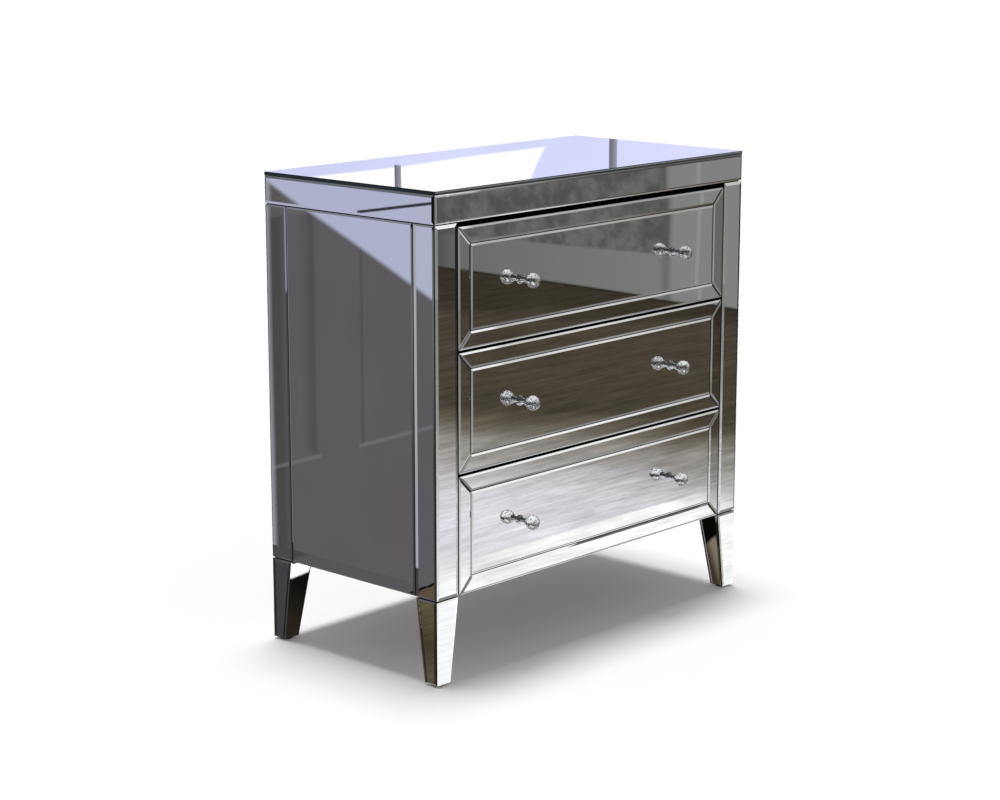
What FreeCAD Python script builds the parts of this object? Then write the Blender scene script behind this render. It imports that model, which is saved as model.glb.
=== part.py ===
import FreeCAD, Part
import math
import os

# A chest of three equal drawers, clad in bevelled mirror, on four tapered legs.
# Millimetres. +X is to the right as one faces the drawers, +Y points from the drawers to the back
# and +Z is up. The floor is Z = 0, and the origin is the centre of the whole footprint, knobs included.

# ---------------------------------------------------------------- driving dimensions
# Overall case, measured over the mirrors and without the knobs
CASE_WIDTH = 800.0
CASE_DEPTH = 400.0
TOTAL_HEIGHT = 820.0
LEG_HEIGHT = 148.0
TOP_BAND_HEIGHT = 54.0

# Mirror glass
MIRROR_THICKNESS = 4.0
TOP_MIRROR_THICKNESS = 6.0
TOP_ARRIS = 1.2
BEVEL_DEPTH = 1.1
STILE_BEVEL = 5.5
FRIEZE_BEVEL = 4.0
SIDE_BEVEL = 3.0
SIDE_STRIP_REAR_BEVEL = 7.0
DRAWER_BEVEL = 3.5
LEG_BEVEL = 3.5
SIDE_STRIP_WIDTH = 50.0
SIDE_JOINT = 2.0
BAND_JOINT = 1.0
CORNER_JOINT = 0.4

# Painted boards of the case
SIDE_BOARD_THICKNESS = 16.0
TOP_BOARD_THICKNESS = 18.0
BAND_RAIL_THICKNESS = 18.0
BOTTOM_BOARD_THICKNESS = 16.0
BACK_PANEL_THICKNESS = 6.0
STILE_WIDTH = 50.0
STILE_POST_THICKNESS = 16.0
DIVIDER_THICKNESS = 16.0
DIVIDER_DEPTH = 60.0

# Drawer fronts
DRAWER_COUNT = 3
DRAWER_SIDE_GAP = 3.0
DRAWER_REVEAL = 5.0
TOP_REVEAL = 8.0
DRAWER_FRONT_THICKNESS = 16.0
DRAWER_BOARD_INSET = 1.0
DRAWER_SEAT_GAP = 2.0
BORDER_WIDTH = 28.0
DRAWER_JOINT = 1.5
MITRE_JOINT = 1.2

# Drawer boxes
BOX_LIFT = 22.0
BOX_HEIGHT = 150.0
BOX_BACK_CLEARANCE = 34.0
BOX_SIDE_THICKNESS = 12.0
BOX_BACK_THICKNESS = 12.0
BOX_BOTTOM_THICKNESS = 4.0
BOX_BOTTOM_LIFT = 10.0
BOX_GROOVE_DEPTH = 5.0

# Ball-bearing runners, one pair for each drawer
RUNNER_BACK_MARGIN = 36.0
RUNNER_HEIGHT = 35.0
RUNNER_THICKNESS = 12.7
RUNNER_SHEET = 1.2
RUNNER_SETBACK = 2.0
RUNNER_LIP = 2.8
RUNNER_OVERLAP = 75.0
BALL_DIAMETER = 4.3
BALL_CLEARANCE = 0.3
BALLS_PER_ROW = 5
CAGE_SHEET = 0.6
CAGE_END_MARGIN = 2.5
BATTEN_HEIGHT = 46.0

# Knobs: a faceted crystal ball on a turned chrome base
KNOB_SPACING = 400.0
CRYSTAL_DIAMETER = 26.0
CRYSTAL_SIDES = 10
CRYSTAL_RINGS = 6
CRYSTAL_TABLE_ANGLE = 25.0
KNOB_BASE_LENGTH = 17.0
ROSE_RADIUS = 8.5
ROSE_THICKNESS = 2.0
NECK_RADIUS = 4.5
CUP_RADIUS = 6.5
CUP_THICKNESS = 2.0

# Legs
LEG_TOP_WIDTH = 50.0
LEG_FOOT_WIDTH = 31.0
LEG_JOINT = 2.0
GLIDE_HEIGHT = 4.0
GLIDE_RADIUS = 11.0
GLIDE_CHAMFER = 1.0
GLIDE_PIN_RADIUS = 1.5
GLIDE_PIN_LENGTH = 12.0

# Fasteners
KNOB_SCREW_RADIUS = 2.0
KNOB_SCREW_GRIP = 9.0
KNOB_SCREW_HEAD_RADIUS = 4.0
KNOB_SCREW_HEAD_HEIGHT = 2.8
RUNNER_SCREW_RADIUS = 1.75
RUNNER_SCREW_LENGTH = 10.0
RUNNER_SCREW_HEAD_RADIUS = 3.5
RUNNER_SCREW_HEAD_HEIGHT = 2.0
RUNNER_SCREW_END = 35.0
LEG_BOLT_RADIUS = 4.0
LEG_BOLT_INSET = 36.0
LEG_BOLT_DEPTH = 45.0
LEG_BOLT_STICKOUT = 9.0
LEG_NUT_HEIGHT = 6.5
LEG_NUT_ACROSS_FLATS = 13.0
THREAD_CLEARANCE = 0.05
HOLE_CLEARANCE = 0.4

# ---------------------------------------------------------------- places worked out from them
crystal_radius = CRYSTAL_DIAMETER / 2
table_angle = math.radians(CRYSTAL_TABLE_ANGLE)
crystal_flat = crystal_radius * math.cos(table_angle)
knob_projection = KNOB_BASE_LENGTH + 2 * crystal_flat

half_width = CASE_WIDTH / 2
front_y = (knob_projection - CASE_DEPTH) / 2
back_y = front_y + CASE_DEPTH
middle_y = (front_y + back_y) / 2

board_half_width = half_width - MIRROR_THICKNESS
board_front_y = front_y + MIRROR_THICKNESS
inner_half_width = board_half_width - SIDE_BOARD_THICKNESS
opening_half_width = half_width - STILE_WIDTH

body_bottom = LEG_HEIGHT
body_top = TOTAL_HEIGHT - TOP_BAND_HEIGHT
top_board_top = TOTAL_HEIGHT - TOP_MIRROR_THICKNESS
top_board_bottom = top_board_top - TOP_BOARD_THICKNESS

drawer_half_width = opening_half_width - DRAWER_SIDE_GAP
all_reveals = TOP_REVEAL + (DRAWER_COUNT - 1) * DRAWER_REVEAL
drawer_height = (body_top - body_bottom - all_reveals) / DRAWER_COUNT
front_back_y = board_front_y + DRAWER_FRONT_THICKNESS
inner_front_y = front_back_y + DRAWER_SEAT_GAP
back_panel_y = back_y - BACK_PANEL_THICKNESS

box_half_width = opening_half_width - RUNNER_THICKNESS
box_inner_half_width = box_half_width - BOX_SIDE_THICKNESS
box_back_y = back_panel_y - BOX_BACK_CLEARANCE
runner_start_y = inner_front_y + RUNNER_SETBACK
runner_end_y = box_back_y - RUNNER_BACK_MARGIN
drawer_travel = runner_end_y - runner_start_y - RUNNER_OVERLAP

X_AXIS = FreeCAD.Vector(1, 0, 0)
Y_AXIS = FreeCAD.Vector(0, 1, 0)
Z_AXIS = FreeCAD.Vector(0, 0, 1)


def drawer_bottom(number):
    """Height of the lower edge of a drawer's front; drawer 1 is the top one."""
    return body_bottom + (DRAWER_COUNT - number) * (drawer_height + DRAWER_REVEAL)


def runner_height(number):
    """Height of the middle of a drawer's runners."""
    return drawer_bottom(number) + BOX_LIFT + BOX_HEIGHT / 2


# ---------------------------------------------------------------- shape helpers
def box(x_range, y_range, z_range):
    """A box between the two ends of each range, given in either order."""
    x0, x1 = sorted(x_range)
    y0, y1 = sorted(y_range)
    z0, z1 = sorted(z_range)
    return Part.makeBox(x1 - x0, y1 - y0, z1 - z0, FreeCAD.Vector(x0, y0, z0))


def cylinder(radius, start, axis, length):
    """A round bar from start along axis."""
    return Part.makeCylinder(radius, length, start, axis)


def mirror_x(shape):
    """The same shape on the other side of the middle plane X = 0."""
    return shape.mirror(FreeCAD.Vector(0, 0, 0), X_AXIS)


def mirror_y(shape):
    """The same shape on the other side of the case's middle plane across its depth."""
    return shape.mirror(FreeCAD.Vector(0, middle_y, 0), Y_AXIS)


def face_of(points):
    """A flat face with the given corners."""
    return Part.Face(Part.makePolygon(points + [points[0]]))


def solid_of(faces):
    """A solid closed by the given flat faces."""
    solid = Part.Solid(Part.Shell(faces))
    if solid.Volume < 0:
        solid.reverse()
    return solid


def inset_outline(outline, distances):
    """A convex outline, given anticlockwise, with each side moved inwards by its own distance."""
    count = len(outline)
    lines = []
    for i in range(count):
        (u0, v0), (u1, v1) = outline[i], outline[(i + 1) % count]
        length = math.hypot(u1 - u0, v1 - v0)
        du, dv = (u1 - u0) / length, (v1 - v0) / length
        lines.append((u0 - dv * distances[i], v0 + du * distances[i], du, dv))
    corners = []
    for i in range(count):
        u0, v0, du0, dv0 = lines[i - 1]
        u1, v1, du1, dv1 = lines[i]
        along = ((u1 - u0) * dv1 - (v1 - v0) * du1) / (du0 * dv1 - dv0 * du1)
        corners.append((u0 + along * du0, v0 + along * dv0))
    return corners


def bevelled_plate(origin, u_axis, v_axis, outline, thickness, bevel_widths, bevel_depth):
    """A glass plate with a bevel along each side of its front, which faces u_axis x v_axis."""
    normal = u_axis.cross(v_axis)

    def ring(points, depth):
        return [origin + u_axis * u + v_axis * v - normal * depth for u, v in points]

    back = ring(outline, thickness)
    rim = ring(outline, bevel_depth)
    front = ring(inset_outline(outline, bevel_widths), 0)
    faces = [face_of(back), face_of(front)]
    for i in range(len(outline)):
        j = (i + 1) % len(outline)
        faces.append(face_of([back[i], back[j], rim[j], rim[i]]))
        faces.append(face_of([rim[i], rim[j], front[j], front[i]]))
    return solid_of(faces)


def rectangle(u_range, v_range):
    """The four corners of a rectangle, anticlockwise."""
    (u0, u1), (v0, v1) = u_range, v_range
    return [(u0, v0), (u1, v0), (u1, v1), (u0, v1)]


def front_plate(outline, bevel_width):
    """A mirror on the front of the case; its outline is in X and Z."""
    origin = FreeCAD.Vector(0, front_y, 0)
    bevel_widths = [bevel_width] * len(outline)
    return bevelled_plate(origin, X_AXIS, Z_AXIS, outline, MIRROR_THICKNESS, bevel_widths, BEVEL_DEPTH)


def left_plate(y_range, z_range, bevel_width, rear_bevel_width):
    """A mirror on the left side of the case; its rear bevel has a width of its own."""
    origin = FreeCAD.Vector(-half_width, 0, 0)
    outline = rectangle((-y_range[1], -y_range[0]), z_range)
    bevel_widths = [bevel_width, bevel_width, bevel_width, rear_bevel_width]
    return bevelled_plate(origin, -Y_AXIS, Z_AXIS, outline, MIRROR_THICKNESS, bevel_widths, BEVEL_DEPTH)


def revolved(profile, place, axis):
    """A turned part: profile points are (radius, distance along axis) and start and end on it."""
    points = [FreeCAD.Vector(radius, 0, along) for radius, along in profile]
    solid = face_of(points).revolve(FreeCAD.Vector(0, 0, 0), Z_AXIS, 360)
    solid.Placement = FreeCAD.Placement(place, FreeCAD.Rotation(Z_AXIS, axis))
    return solid


parts = {}


# ---------------------------------------------------------------- top band
def make_top_band():
    """Top board on four rails, with a mirror on top and on the three sides that show."""
    parts["top_board"] = box(
        (-board_half_width, board_half_width), (board_front_y, back_y), (top_board_bottom, top_board_top)
    )
    rail_heights = (body_top, top_board_bottom)
    front_rail_back = board_front_y + BAND_RAIL_THICKNESS
    back_rail_front = back_y - BAND_RAIL_THICKNESS
    side_rail = box(
        (-board_half_width, -board_half_width + BAND_RAIL_THICKNESS),
        (front_rail_back, back_rail_front),
        rail_heights,
    )
    parts["top_rails"] = [
        box((-board_half_width, board_half_width), (board_front_y, front_rail_back), rail_heights),
        box((-board_half_width, board_half_width), (back_rail_front, back_y), rail_heights),
        side_rail,
        mirror_x(side_rail),
    ]
    top_outline = rectangle((-half_width, half_width), (front_y, back_y))
    parts["top_mirror"] = bevelled_plate(
        FreeCAD.Vector(0, 0, TOTAL_HEIGHT),
        X_AXIS,
        Y_AXIS,
        top_outline,
        TOP_MIRROR_THICKNESS,
        [TOP_ARRIS] * len(top_outline),
        TOP_ARRIS,
    )
    mirror_heights = (body_top + BAND_JOINT, top_board_top - CORNER_JOINT)
    parts["top_band_front_mirror"] = front_plate(
        rectangle((-half_width, half_width), mirror_heights), FRIEZE_BEVEL
    )
    side_mirror = left_plate(
        (board_front_y + CORNER_JOINT, back_y), mirror_heights, FRIEZE_BEVEL, FRIEZE_BEVEL
    )
    parts["top_band_side_mirrors"] = [side_mirror, mirror_x(side_mirror)]


# ---------------------------------------------------------------- case
def make_case_boards():
    """Side boards, stile posts, bottom board, back panel, divider rails and runner battens."""
    side_board = box(
        (-board_half_width, -inner_half_width), (board_front_y, back_panel_y), (body_bottom, body_top)
    )
    parts["left_side_board"] = side_board
    parts["right_side_board"] = mirror_x(side_board)
    post_back_y = board_front_y + STILE_POST_THICKNESS
    post = box(
        (-inner_half_width, -opening_half_width), (board_front_y, post_back_y), (body_bottom, body_top)
    )
    parts["stile_posts"] = [post, mirror_x(post)]
    bottom = box(
        (-inner_half_width, inner_half_width),
        (inner_front_y, back_panel_y),
        (body_bottom, body_bottom + BOTTOM_BOARD_THICKNESS),
    )
    for place in leg_bolt_places():
        hole_start = FreeCAD.Vector(place.x, place.y, body_bottom)
        hole = cylinder(LEG_BOLT_RADIUS + HOLE_CLEARANCE, hole_start, Z_AXIS, BOTTOM_BOARD_THICKNESS)
        bottom = bottom.cut(hole)
    parts["bottom_board"] = bottom
    parts["back_panel"] = box(
        (-board_half_width, board_half_width), (back_panel_y, back_y), (body_bottom, body_top)
    )
    dividers = []
    for number in range(1, DRAWER_COUNT):
        middle = drawer_bottom(number) - DRAWER_REVEAL / 2
        dividers.append(
            box(
                (-inner_half_width, inner_half_width),
                (inner_front_y, inner_front_y + DIVIDER_DEPTH),
                (middle - DIVIDER_THICKNESS / 2, middle + DIVIDER_THICKNESS / 2),
            )
        )
    parts["divider_rails"] = dividers
    battens = []
    for number in range(1, DRAWER_COUNT + 1):
        middle = runner_height(number)
        batten = box(
            (-inner_half_width, -opening_half_width),
            (post_back_y, back_panel_y),
            (middle - BATTEN_HEIGHT / 2, middle + BATTEN_HEIGHT / 2),
        )
        for y in runner_screw_places():
            start = FreeCAD.Vector(-opening_half_width, y, middle)
            batten = batten.cut(
                cylinder(RUNNER_SCREW_RADIUS + THREAD_CLEARANCE, start, -X_AXIS, RUNNER_SCREW_LENGTH)
            )
        battens += [batten, mirror_x(batten)]
    parts["runner_battens"] = battens


def make_case_mirrors():
    """Stile mirrors on the front, and three mirrors on each side."""
    heights = (body_bottom + CORNER_JOINT, body_top - BAND_JOINT)
    stile = front_plate(rectangle((-half_width, -opening_half_width), heights), STILE_BEVEL)
    parts["stile_mirrors"] = [stile, mirror_x(stile)]
    front_strip_back = front_y + SIDE_STRIP_WIDTH
    back_strip_front = back_y - SIDE_STRIP_WIDTH
    spans = [
        (board_front_y + CORNER_JOINT, front_strip_back),
        (front_strip_back + SIDE_JOINT, back_strip_front - SIDE_JOINT),
        (back_strip_front, back_y),
    ]
    rear_bevels = [SIDE_STRIP_REAR_BEVEL, SIDE_BEVEL, SIDE_BEVEL]
    left_mirrors = [left_plate(span, heights, SIDE_BEVEL, rear) for span, rear in zip(spans, rear_bevels)]
    parts["left_side_mirrors"] = left_mirrors
    parts["right_side_mirrors"] = [mirror_x(plate) for plate in left_mirrors]


# ---------------------------------------------------------------- legs
leg_taper = (LEG_TOP_WIDTH - LEG_FOOT_WIDTH) / (LEG_HEIGHT - GLIDE_HEIGHT)
leg_slope = math.atan(leg_taper)
sloped_plate_width = MIRROR_THICKNESS / math.cos(leg_slope)


def leg_width(height):
    """Width of a leg over its mirrors at a height above the floor."""
    return LEG_FOOT_WIDTH + leg_taper * (height - GLIDE_HEIGHT)


def leg_bolt_places():
    """Where the four leg bolts cross the underside of the case."""
    x = half_width - LEG_BOLT_INSET
    return [
        FreeCAD.Vector(side * x, y, body_bottom)
        for side in (-1, 1)
        for y in (front_y + LEG_BOLT_INSET, back_y - LEG_BOLT_INSET)
    ]


def make_leg_core():
    """Painted wood core of the front left leg, tapered on its two inner faces."""
    def section(height):
        near = MIRROR_THICKNESS
        far = leg_width(height) - sloped_plate_width
        corners = [(near, near), (far, near), (far, far), (near, far)]
        points = [FreeCAD.Vector(-half_width + a, front_y + b, height) for a, b in corners]
        return points

    low = section(GLIDE_HEIGHT)
    high = section(LEG_HEIGHT)
    faces = [face_of(low), face_of(high)]
    for i in range(4):
        j = (i + 1) % 4
        faces.append(face_of([low[i], low[j], high[j], high[i]]))
    core = solid_of(faces)
    bolt_top = FreeCAD.Vector(-half_width + LEG_BOLT_INSET, front_y + LEG_BOLT_INSET, LEG_HEIGHT)
    core = core.cut(cylinder(LEG_BOLT_RADIUS + THREAD_CLEARANCE, bolt_top, -Z_AXIS, LEG_BOLT_DEPTH))
    pin_foot = glide_place() + Z_AXIS * GLIDE_HEIGHT
    return core.cut(cylinder(GLIDE_PIN_RADIUS + THREAD_CLEARANCE, pin_foot, Z_AXIS, GLIDE_PIN_LENGTH))


def glide_place():
    """Point on the floor under the middle of the front left leg's foot."""
    middle = LEG_FOOT_WIDTH / 2
    return FreeCAD.Vector(-half_width + middle, front_y + middle, 0)


def make_leg_mirrors():
    """Four bevelled mirrors round the front left leg."""
    low = GLIDE_HEIGHT
    high = LEG_HEIGHT - LEG_JOINT
    low_width = leg_width(low)
    high_width = leg_width(high)
    tall = (high - low) / math.cos(leg_slope)
    near = MIRROR_THICKNESS + CORNER_JOINT
    far_gap = sloped_plate_width + CORNER_JOINT
    sloped_x = FreeCAD.Vector(math.sin(leg_slope), 0, math.cos(leg_slope))
    sloped_y = FreeCAD.Vector(0, math.sin(leg_slope), math.cos(leg_slope))
    corner = FreeCAD.Vector(-half_width, front_y, low)

    def plate(origin, u_axis, v_axis, outline):
        bevel_widths = [LEG_BEVEL] * len(outline)
        return bevelled_plate(origin, u_axis, v_axis, outline, MIRROR_THICKNESS, bevel_widths, BEVEL_DEPTH)

    outer_front = plate(
        corner, X_AXIS, Z_AXIS, [(0, 0), (low_width, 0), (high_width, high - low), (0, high - low)]
    )
    outer_side = plate(
        corner,
        -Y_AXIS,
        Z_AXIS,
        [(far_gap - low_width, 0), (-near, 0), (-near, high - low), (far_gap - high_width, high - low)],
    )
    inner_side = plate(
        corner + X_AXIS * low_width,
        Y_AXIS,
        sloped_x,
        [(near, 0), (low_width - far_gap, 0), (high_width - far_gap, tall), (near, tall)],
    )
    inner_back = plate(
        corner + Y_AXIS * low_width,
        -X_AXIS,
        sloped_y,
        [(-low_width, 0), (0, 0), (0, tall), (-high_width, tall)],
    )
    return [outer_front, outer_side, inner_side, inner_back]


def make_glide():
    """Round floor glide with a pin, under the front left leg."""
    pin_top = GLIDE_HEIGHT + GLIDE_PIN_LENGTH
    profile = [
        (0, 0),
        (GLIDE_RADIUS - GLIDE_CHAMFER, 0),
        (GLIDE_RADIUS, GLIDE_CHAMFER),
        (GLIDE_RADIUS, GLIDE_HEIGHT),
        (GLIDE_PIN_RADIUS, GLIDE_HEIGHT),
        (GLIDE_PIN_RADIUS, pin_top),
        (0, pin_top),
    ]
    return revolved(profile, glide_place(), Z_AXIS)


def make_leg_bolt(place):
    """Bolt up through the bottom board, with its hexagon nut on top of the board."""
    bolt_length = LEG_BOLT_DEPTH + BOTTOM_BOARD_THICKNESS + LEG_BOLT_STICKOUT
    bolt = cylinder(LEG_BOLT_RADIUS, place - Z_AXIS * LEG_BOLT_DEPTH, Z_AXIS, bolt_length)
    nut_foot = place + Z_AXIS * BOTTOM_BOARD_THICKNESS
    corner_radius = LEG_NUT_ACROSS_FLATS / 2 / math.cos(math.pi / 6)
    corners = []
    for i in range(6):
        turn = math.radians(60 * i)
        corners.append(nut_foot + FreeCAD.Vector(math.cos(turn), math.sin(turn), 0) * corner_radius)
    nut = face_of(corners).extrude(Z_AXIS * LEG_NUT_HEIGHT)
    nut = nut.cut(cylinder(LEG_BOLT_RADIUS + THREAD_CLEARANCE, nut_foot, Z_AXIS, LEG_NUT_HEIGHT))
    return [bolt, nut]


def make_legs():
    """Four legs, each the mirror image of its neighbour."""
    core = make_leg_core()
    plates = make_leg_mirrors()
    glide = make_glide()
    places = {
        "front_left": lambda shape: shape,
        "front_right": mirror_x,
        "back_left": mirror_y,
        "back_right": lambda shape: mirror_x(mirror_y(shape)),
    }
    for name, moved in places.items():
        parts[name + "_leg"] = moved(core)
        parts[name + "_leg_mirrors"] = [moved(plate) for plate in plates]
    parts["foot_glides"] = [moved(glide) for moved in places.values()]
    bolts = []
    for place in leg_bolt_places():
        bolts += make_leg_bolt(place)
    parts["leg_bolts"] = bolts


# ---------------------------------------------------------------- runners
# A runner's section is drawn from the case outwards: inset 0 is the face of the batten and
# inset RUNNER_THICKNESS is the face of the drawer side. Heights are from the runner's middle.
half_runner = RUNNER_HEIGHT / 2
track_height = half_runner - RUNNER_SHEET
drawer_member_half = track_height - BALL_DIAMETER - 2 * BALL_CLEARANCE
ball_height = track_height - BALL_CLEARANCE - BALL_DIAMETER / 2
case_member_depth = RUNNER_THICKNESS - RUNNER_SHEET - BALL_CLEARANCE
ball_inset = case_member_depth - RUNNER_SHEET - BALL_CLEARANCE - BALL_DIAMETER / 2
cage_inset = RUNNER_SHEET + RUNNER_SCREW_HEAD_HEIGHT + BALL_CLEARANCE
drawer_flange_inset = cage_inset + CAGE_SHEET + BALL_CLEARANCE


def runner_screw_places():
    """Distances along Y of a runner member's screws when the drawer is shut."""
    return [
        runner_start_y + RUNNER_SCREW_END,
        (runner_start_y + runner_end_y) / 2,
        runner_end_y - RUNNER_SCREW_END,
    ]


def left_bar(inset_range, height_range, y_range, middle):
    """A straight bar of a left-hand runner, given by its insets and heights."""
    x_range = [-opening_half_width + inset for inset in inset_range]
    z_range = [middle + height for height in height_range]
    return box(x_range, y_range, z_range)


def make_case_member(middle):
    """Left-hand outer member: a channel whose lips turn in over the balls."""
    y_range = (runner_start_y, runner_end_y)
    web = left_bar((0, RUNNER_SHEET), (-half_runner, half_runner), y_range, middle)
    pieces = []
    for side in (-1, 1):
        flange_heights = (side * track_height, side * half_runner)
        lip_heights = (side * (half_runner - RUNNER_LIP), side * half_runner)
        pieces.append(left_bar((0, case_member_depth), flange_heights, y_range, middle))
        lip_insets = (case_member_depth - RUNNER_SHEET, case_member_depth)
        pieces.append(left_bar(lip_insets, lip_heights, y_range, middle))
    member = web.multiFuse(pieces).removeSplitter()
    for y in runner_screw_places():
        start = FreeCAD.Vector(-opening_half_width, y, middle)
        member = member.cut(cylinder(RUNNER_SCREW_RADIUS + HOLE_CLEARANCE, start, X_AXIS, RUNNER_SHEET))
    return member


def make_drawer_member(middle):
    """Left-hand inner member: a smaller channel that opens towards the case."""
    y_range = (runner_start_y, runner_end_y)
    web_insets = (RUNNER_THICKNESS - RUNNER_SHEET, RUNNER_THICKNESS)
    web = left_bar(web_insets, (-drawer_member_half, drawer_member_half), y_range, middle)
    pieces = []
    for side in (-1, 1):
        heights = (side * (drawer_member_half - RUNNER_SHEET), side * drawer_member_half)
        pieces.append(left_bar((drawer_flange_inset, RUNNER_THICKNESS), heights, y_range, middle))
    member = web.multiFuse(pieces).removeSplitter()
    for y in runner_screw_places():
        start = FreeCAD.Vector(-box_half_width, y, middle)
        member = member.cut(cylinder(RUNNER_SCREW_RADIUS + HOLE_CLEARANCE, start, -X_AXIS, RUNNER_SHEET))
    return member


def make_ball_cage(middle):
    """Left-hand ball cage with its balls, as it lies between the members of a shut drawer."""
    front = runner_start_y + CAGE_END_MARGIN + drawer_travel / 2
    cage_length = RUNNER_OVERLAP - 2 * CAGE_END_MARGIN
    y_range = (front, front + cage_length)
    arm_edge = ball_inset + BALL_DIAMETER / 2
    web = left_bar(
        (cage_inset, cage_inset + CAGE_SHEET),
        (-ball_height - CAGE_SHEET / 2, ball_height + CAGE_SHEET / 2),
        y_range,
        middle,
    )
    pitch = cage_length / BALLS_PER_ROW
    arms = []
    balls = []
    for side in (-1, 1):
        height = side * ball_height
        arm_heights = (height - CAGE_SHEET / 2, height + CAGE_SHEET / 2)
        arms.append(left_bar((cage_inset, arm_edge), arm_heights, y_range, middle))
        for i in range(BALLS_PER_ROW):
            y = front + pitch * (i + 0.5)
            balls.append(FreeCAD.Vector(-opening_half_width + ball_inset, y, middle + height))
    cage = web.multiFuse(arms).removeSplitter()
    for centre in balls:
        hole_start = centre - Z_AXIS * CAGE_SHEET
        cage = cage.cut(cylinder(BALL_DIAMETER / 2 + BALL_CLEARANCE, hole_start, Z_AXIS, 2 * CAGE_SHEET))
    return [cage] + [Part.makeSphere(BALL_DIAMETER / 2, centre) for centre in balls]


def make_runner_screw(surface, into):
    """Wood screw whose head lies on a runner's web; surface is the web's free face."""
    shank = cylinder(RUNNER_SCREW_RADIUS, surface, into, RUNNER_SHEET + RUNNER_SCREW_LENGTH)
    head = cylinder(RUNNER_SCREW_HEAD_RADIUS, surface, -into, RUNNER_SCREW_HEAD_HEIGHT)
    return shank.fuse(head).removeSplitter()


def make_case_runners():
    """The case members of all runners, with their screws into the battens."""
    members = []
    screws = []
    for number in range(1, DRAWER_COUNT + 1):
        middle = runner_height(number)
        member = make_case_member(middle)
        members += [member, mirror_x(member)]
        for y in runner_screw_places():
            surface = FreeCAD.Vector(-opening_half_width + RUNNER_SHEET, y, middle)
            screw = make_runner_screw(surface, -X_AXIS)
            screws += [screw, mirror_x(screw)]
    parts["case_runners"] = members
    parts["case_runner_screws"] = screws


# ---------------------------------------------------------------- knobs
def knob_places(number):
    """Where a drawer's knobs stand on its mirror."""
    z = drawer_bottom(number) + drawer_height / 2
    return [FreeCAD.Vector(side * KNOB_SPACING / 2, front_y, z) for side in (-1, 1)]


def make_crystal(foot):
    """Faceted ball whose flat lower facet stands on the base at foot and which points along -Y."""
    centre = foot - Y_AXIS * crystal_flat
    rings = []
    for k in range(CRYSTAL_RINGS):
        polar = table_angle + (math.pi - 2 * table_angle) * k / (CRYSTAL_RINGS - 1)
        ring = []
        for i in range(CRYSTAL_SIDES):
            turn = 2 * math.pi * (i + (k % 2) / 2) / CRYSTAL_SIDES
            across = crystal_radius * math.sin(polar)
            ring.append(
                centre
                + FreeCAD.Vector(
                    across * math.cos(turn), crystal_radius * math.cos(polar), across * math.sin(turn)
                )
            )
        rings.append(ring)
    faces = [face_of(rings[0]), face_of(rings[-1])]
    for k in range(CRYSTAL_RINGS - 1):
        shift = k % 2
        for i in range(CRYSTAL_SIDES):
            near = rings[k][i]
            near_next = rings[k][(i + 1) % CRYSTAL_SIDES]
            far = rings[k + 1][(i + shift) % CRYSTAL_SIDES]
            far_next = rings[k + 1][(i + shift + 1) % CRYSTAL_SIDES]
            faces.append(face_of([near, near_next, far]))
            faces.append(face_of([near_next, far_next, far]))
    return solid_of(faces)


def make_knob_base(place):
    """Turned chrome base: a rose on the mirror, a waisted neck and a cup for the crystal."""
    waist = (ROSE_THICKNESS + KNOB_BASE_LENGTH - CUP_THICKNESS) / 2
    cup_foot = KNOB_BASE_LENGTH - CUP_THICKNESS
    rose_edge = ROSE_RADIUS - ROSE_THICKNESS / 2

    def point(radius, along):
        return FreeCAD.Vector(radius, 0, along)

    outline = [
        point(0, 0),
        point(ROSE_RADIUS, 0),
        point(ROSE_RADIUS, ROSE_THICKNESS / 2),
        point(rose_edge, ROSE_THICKNESS),
    ]
    rest_of_outline = [
        point(CUP_RADIUS, cup_foot),
        point(CUP_RADIUS, KNOB_BASE_LENGTH),
        point(0, KNOB_BASE_LENGTH),
        point(0, 0),
    ]
    neck = Part.Arc(outline[-1], point(NECK_RADIUS, waist), rest_of_outline[0]).toShape()
    edges = Part.makePolygon(outline).Edges + [neck] + Part.makePolygon(rest_of_outline).Edges
    base = Part.Face(Part.Wire(edges)).revolve(FreeCAD.Vector(0, 0, 0), Z_AXIS, 360)
    base.Placement = FreeCAD.Placement(place, FreeCAD.Rotation(Z_AXIS, -Y_AXIS))
    return base.cut(cylinder(KNOB_SCREW_RADIUS + THREAD_CLEARANCE, place, -Y_AXIS, KNOB_SCREW_GRIP))


def make_knob_screw(place):
    """Machine screw from inside the drawer, through its front and the mirror into the base."""
    head_face = FreeCAD.Vector(place.x, front_back_y, place.z)
    shank_length = MIRROR_THICKNESS + DRAWER_FRONT_THICKNESS + KNOB_SCREW_GRIP
    shank = cylinder(KNOB_SCREW_RADIUS, head_face, -Y_AXIS, shank_length)
    head = cylinder(KNOB_SCREW_HEAD_RADIUS, head_face, Y_AXIS, KNOB_SCREW_HEAD_HEIGHT)
    return shank.fuse(head).removeSplitter()


# ---------------------------------------------------------------- drawers
def drill_for_knobs(shape, number):
    """Clearance holes for the knob screws through a drawer's front or mirror."""
    for place in knob_places(number):
        start = FreeCAD.Vector(place.x, front_y, place.z)
        length = MIRROR_THICKNESS + DRAWER_FRONT_THICKNESS
        shape = shape.cut(cylinder(KNOB_SCREW_RADIUS + HOLE_CLEARANCE, start, Y_AXIS, length))
    return shape


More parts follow.
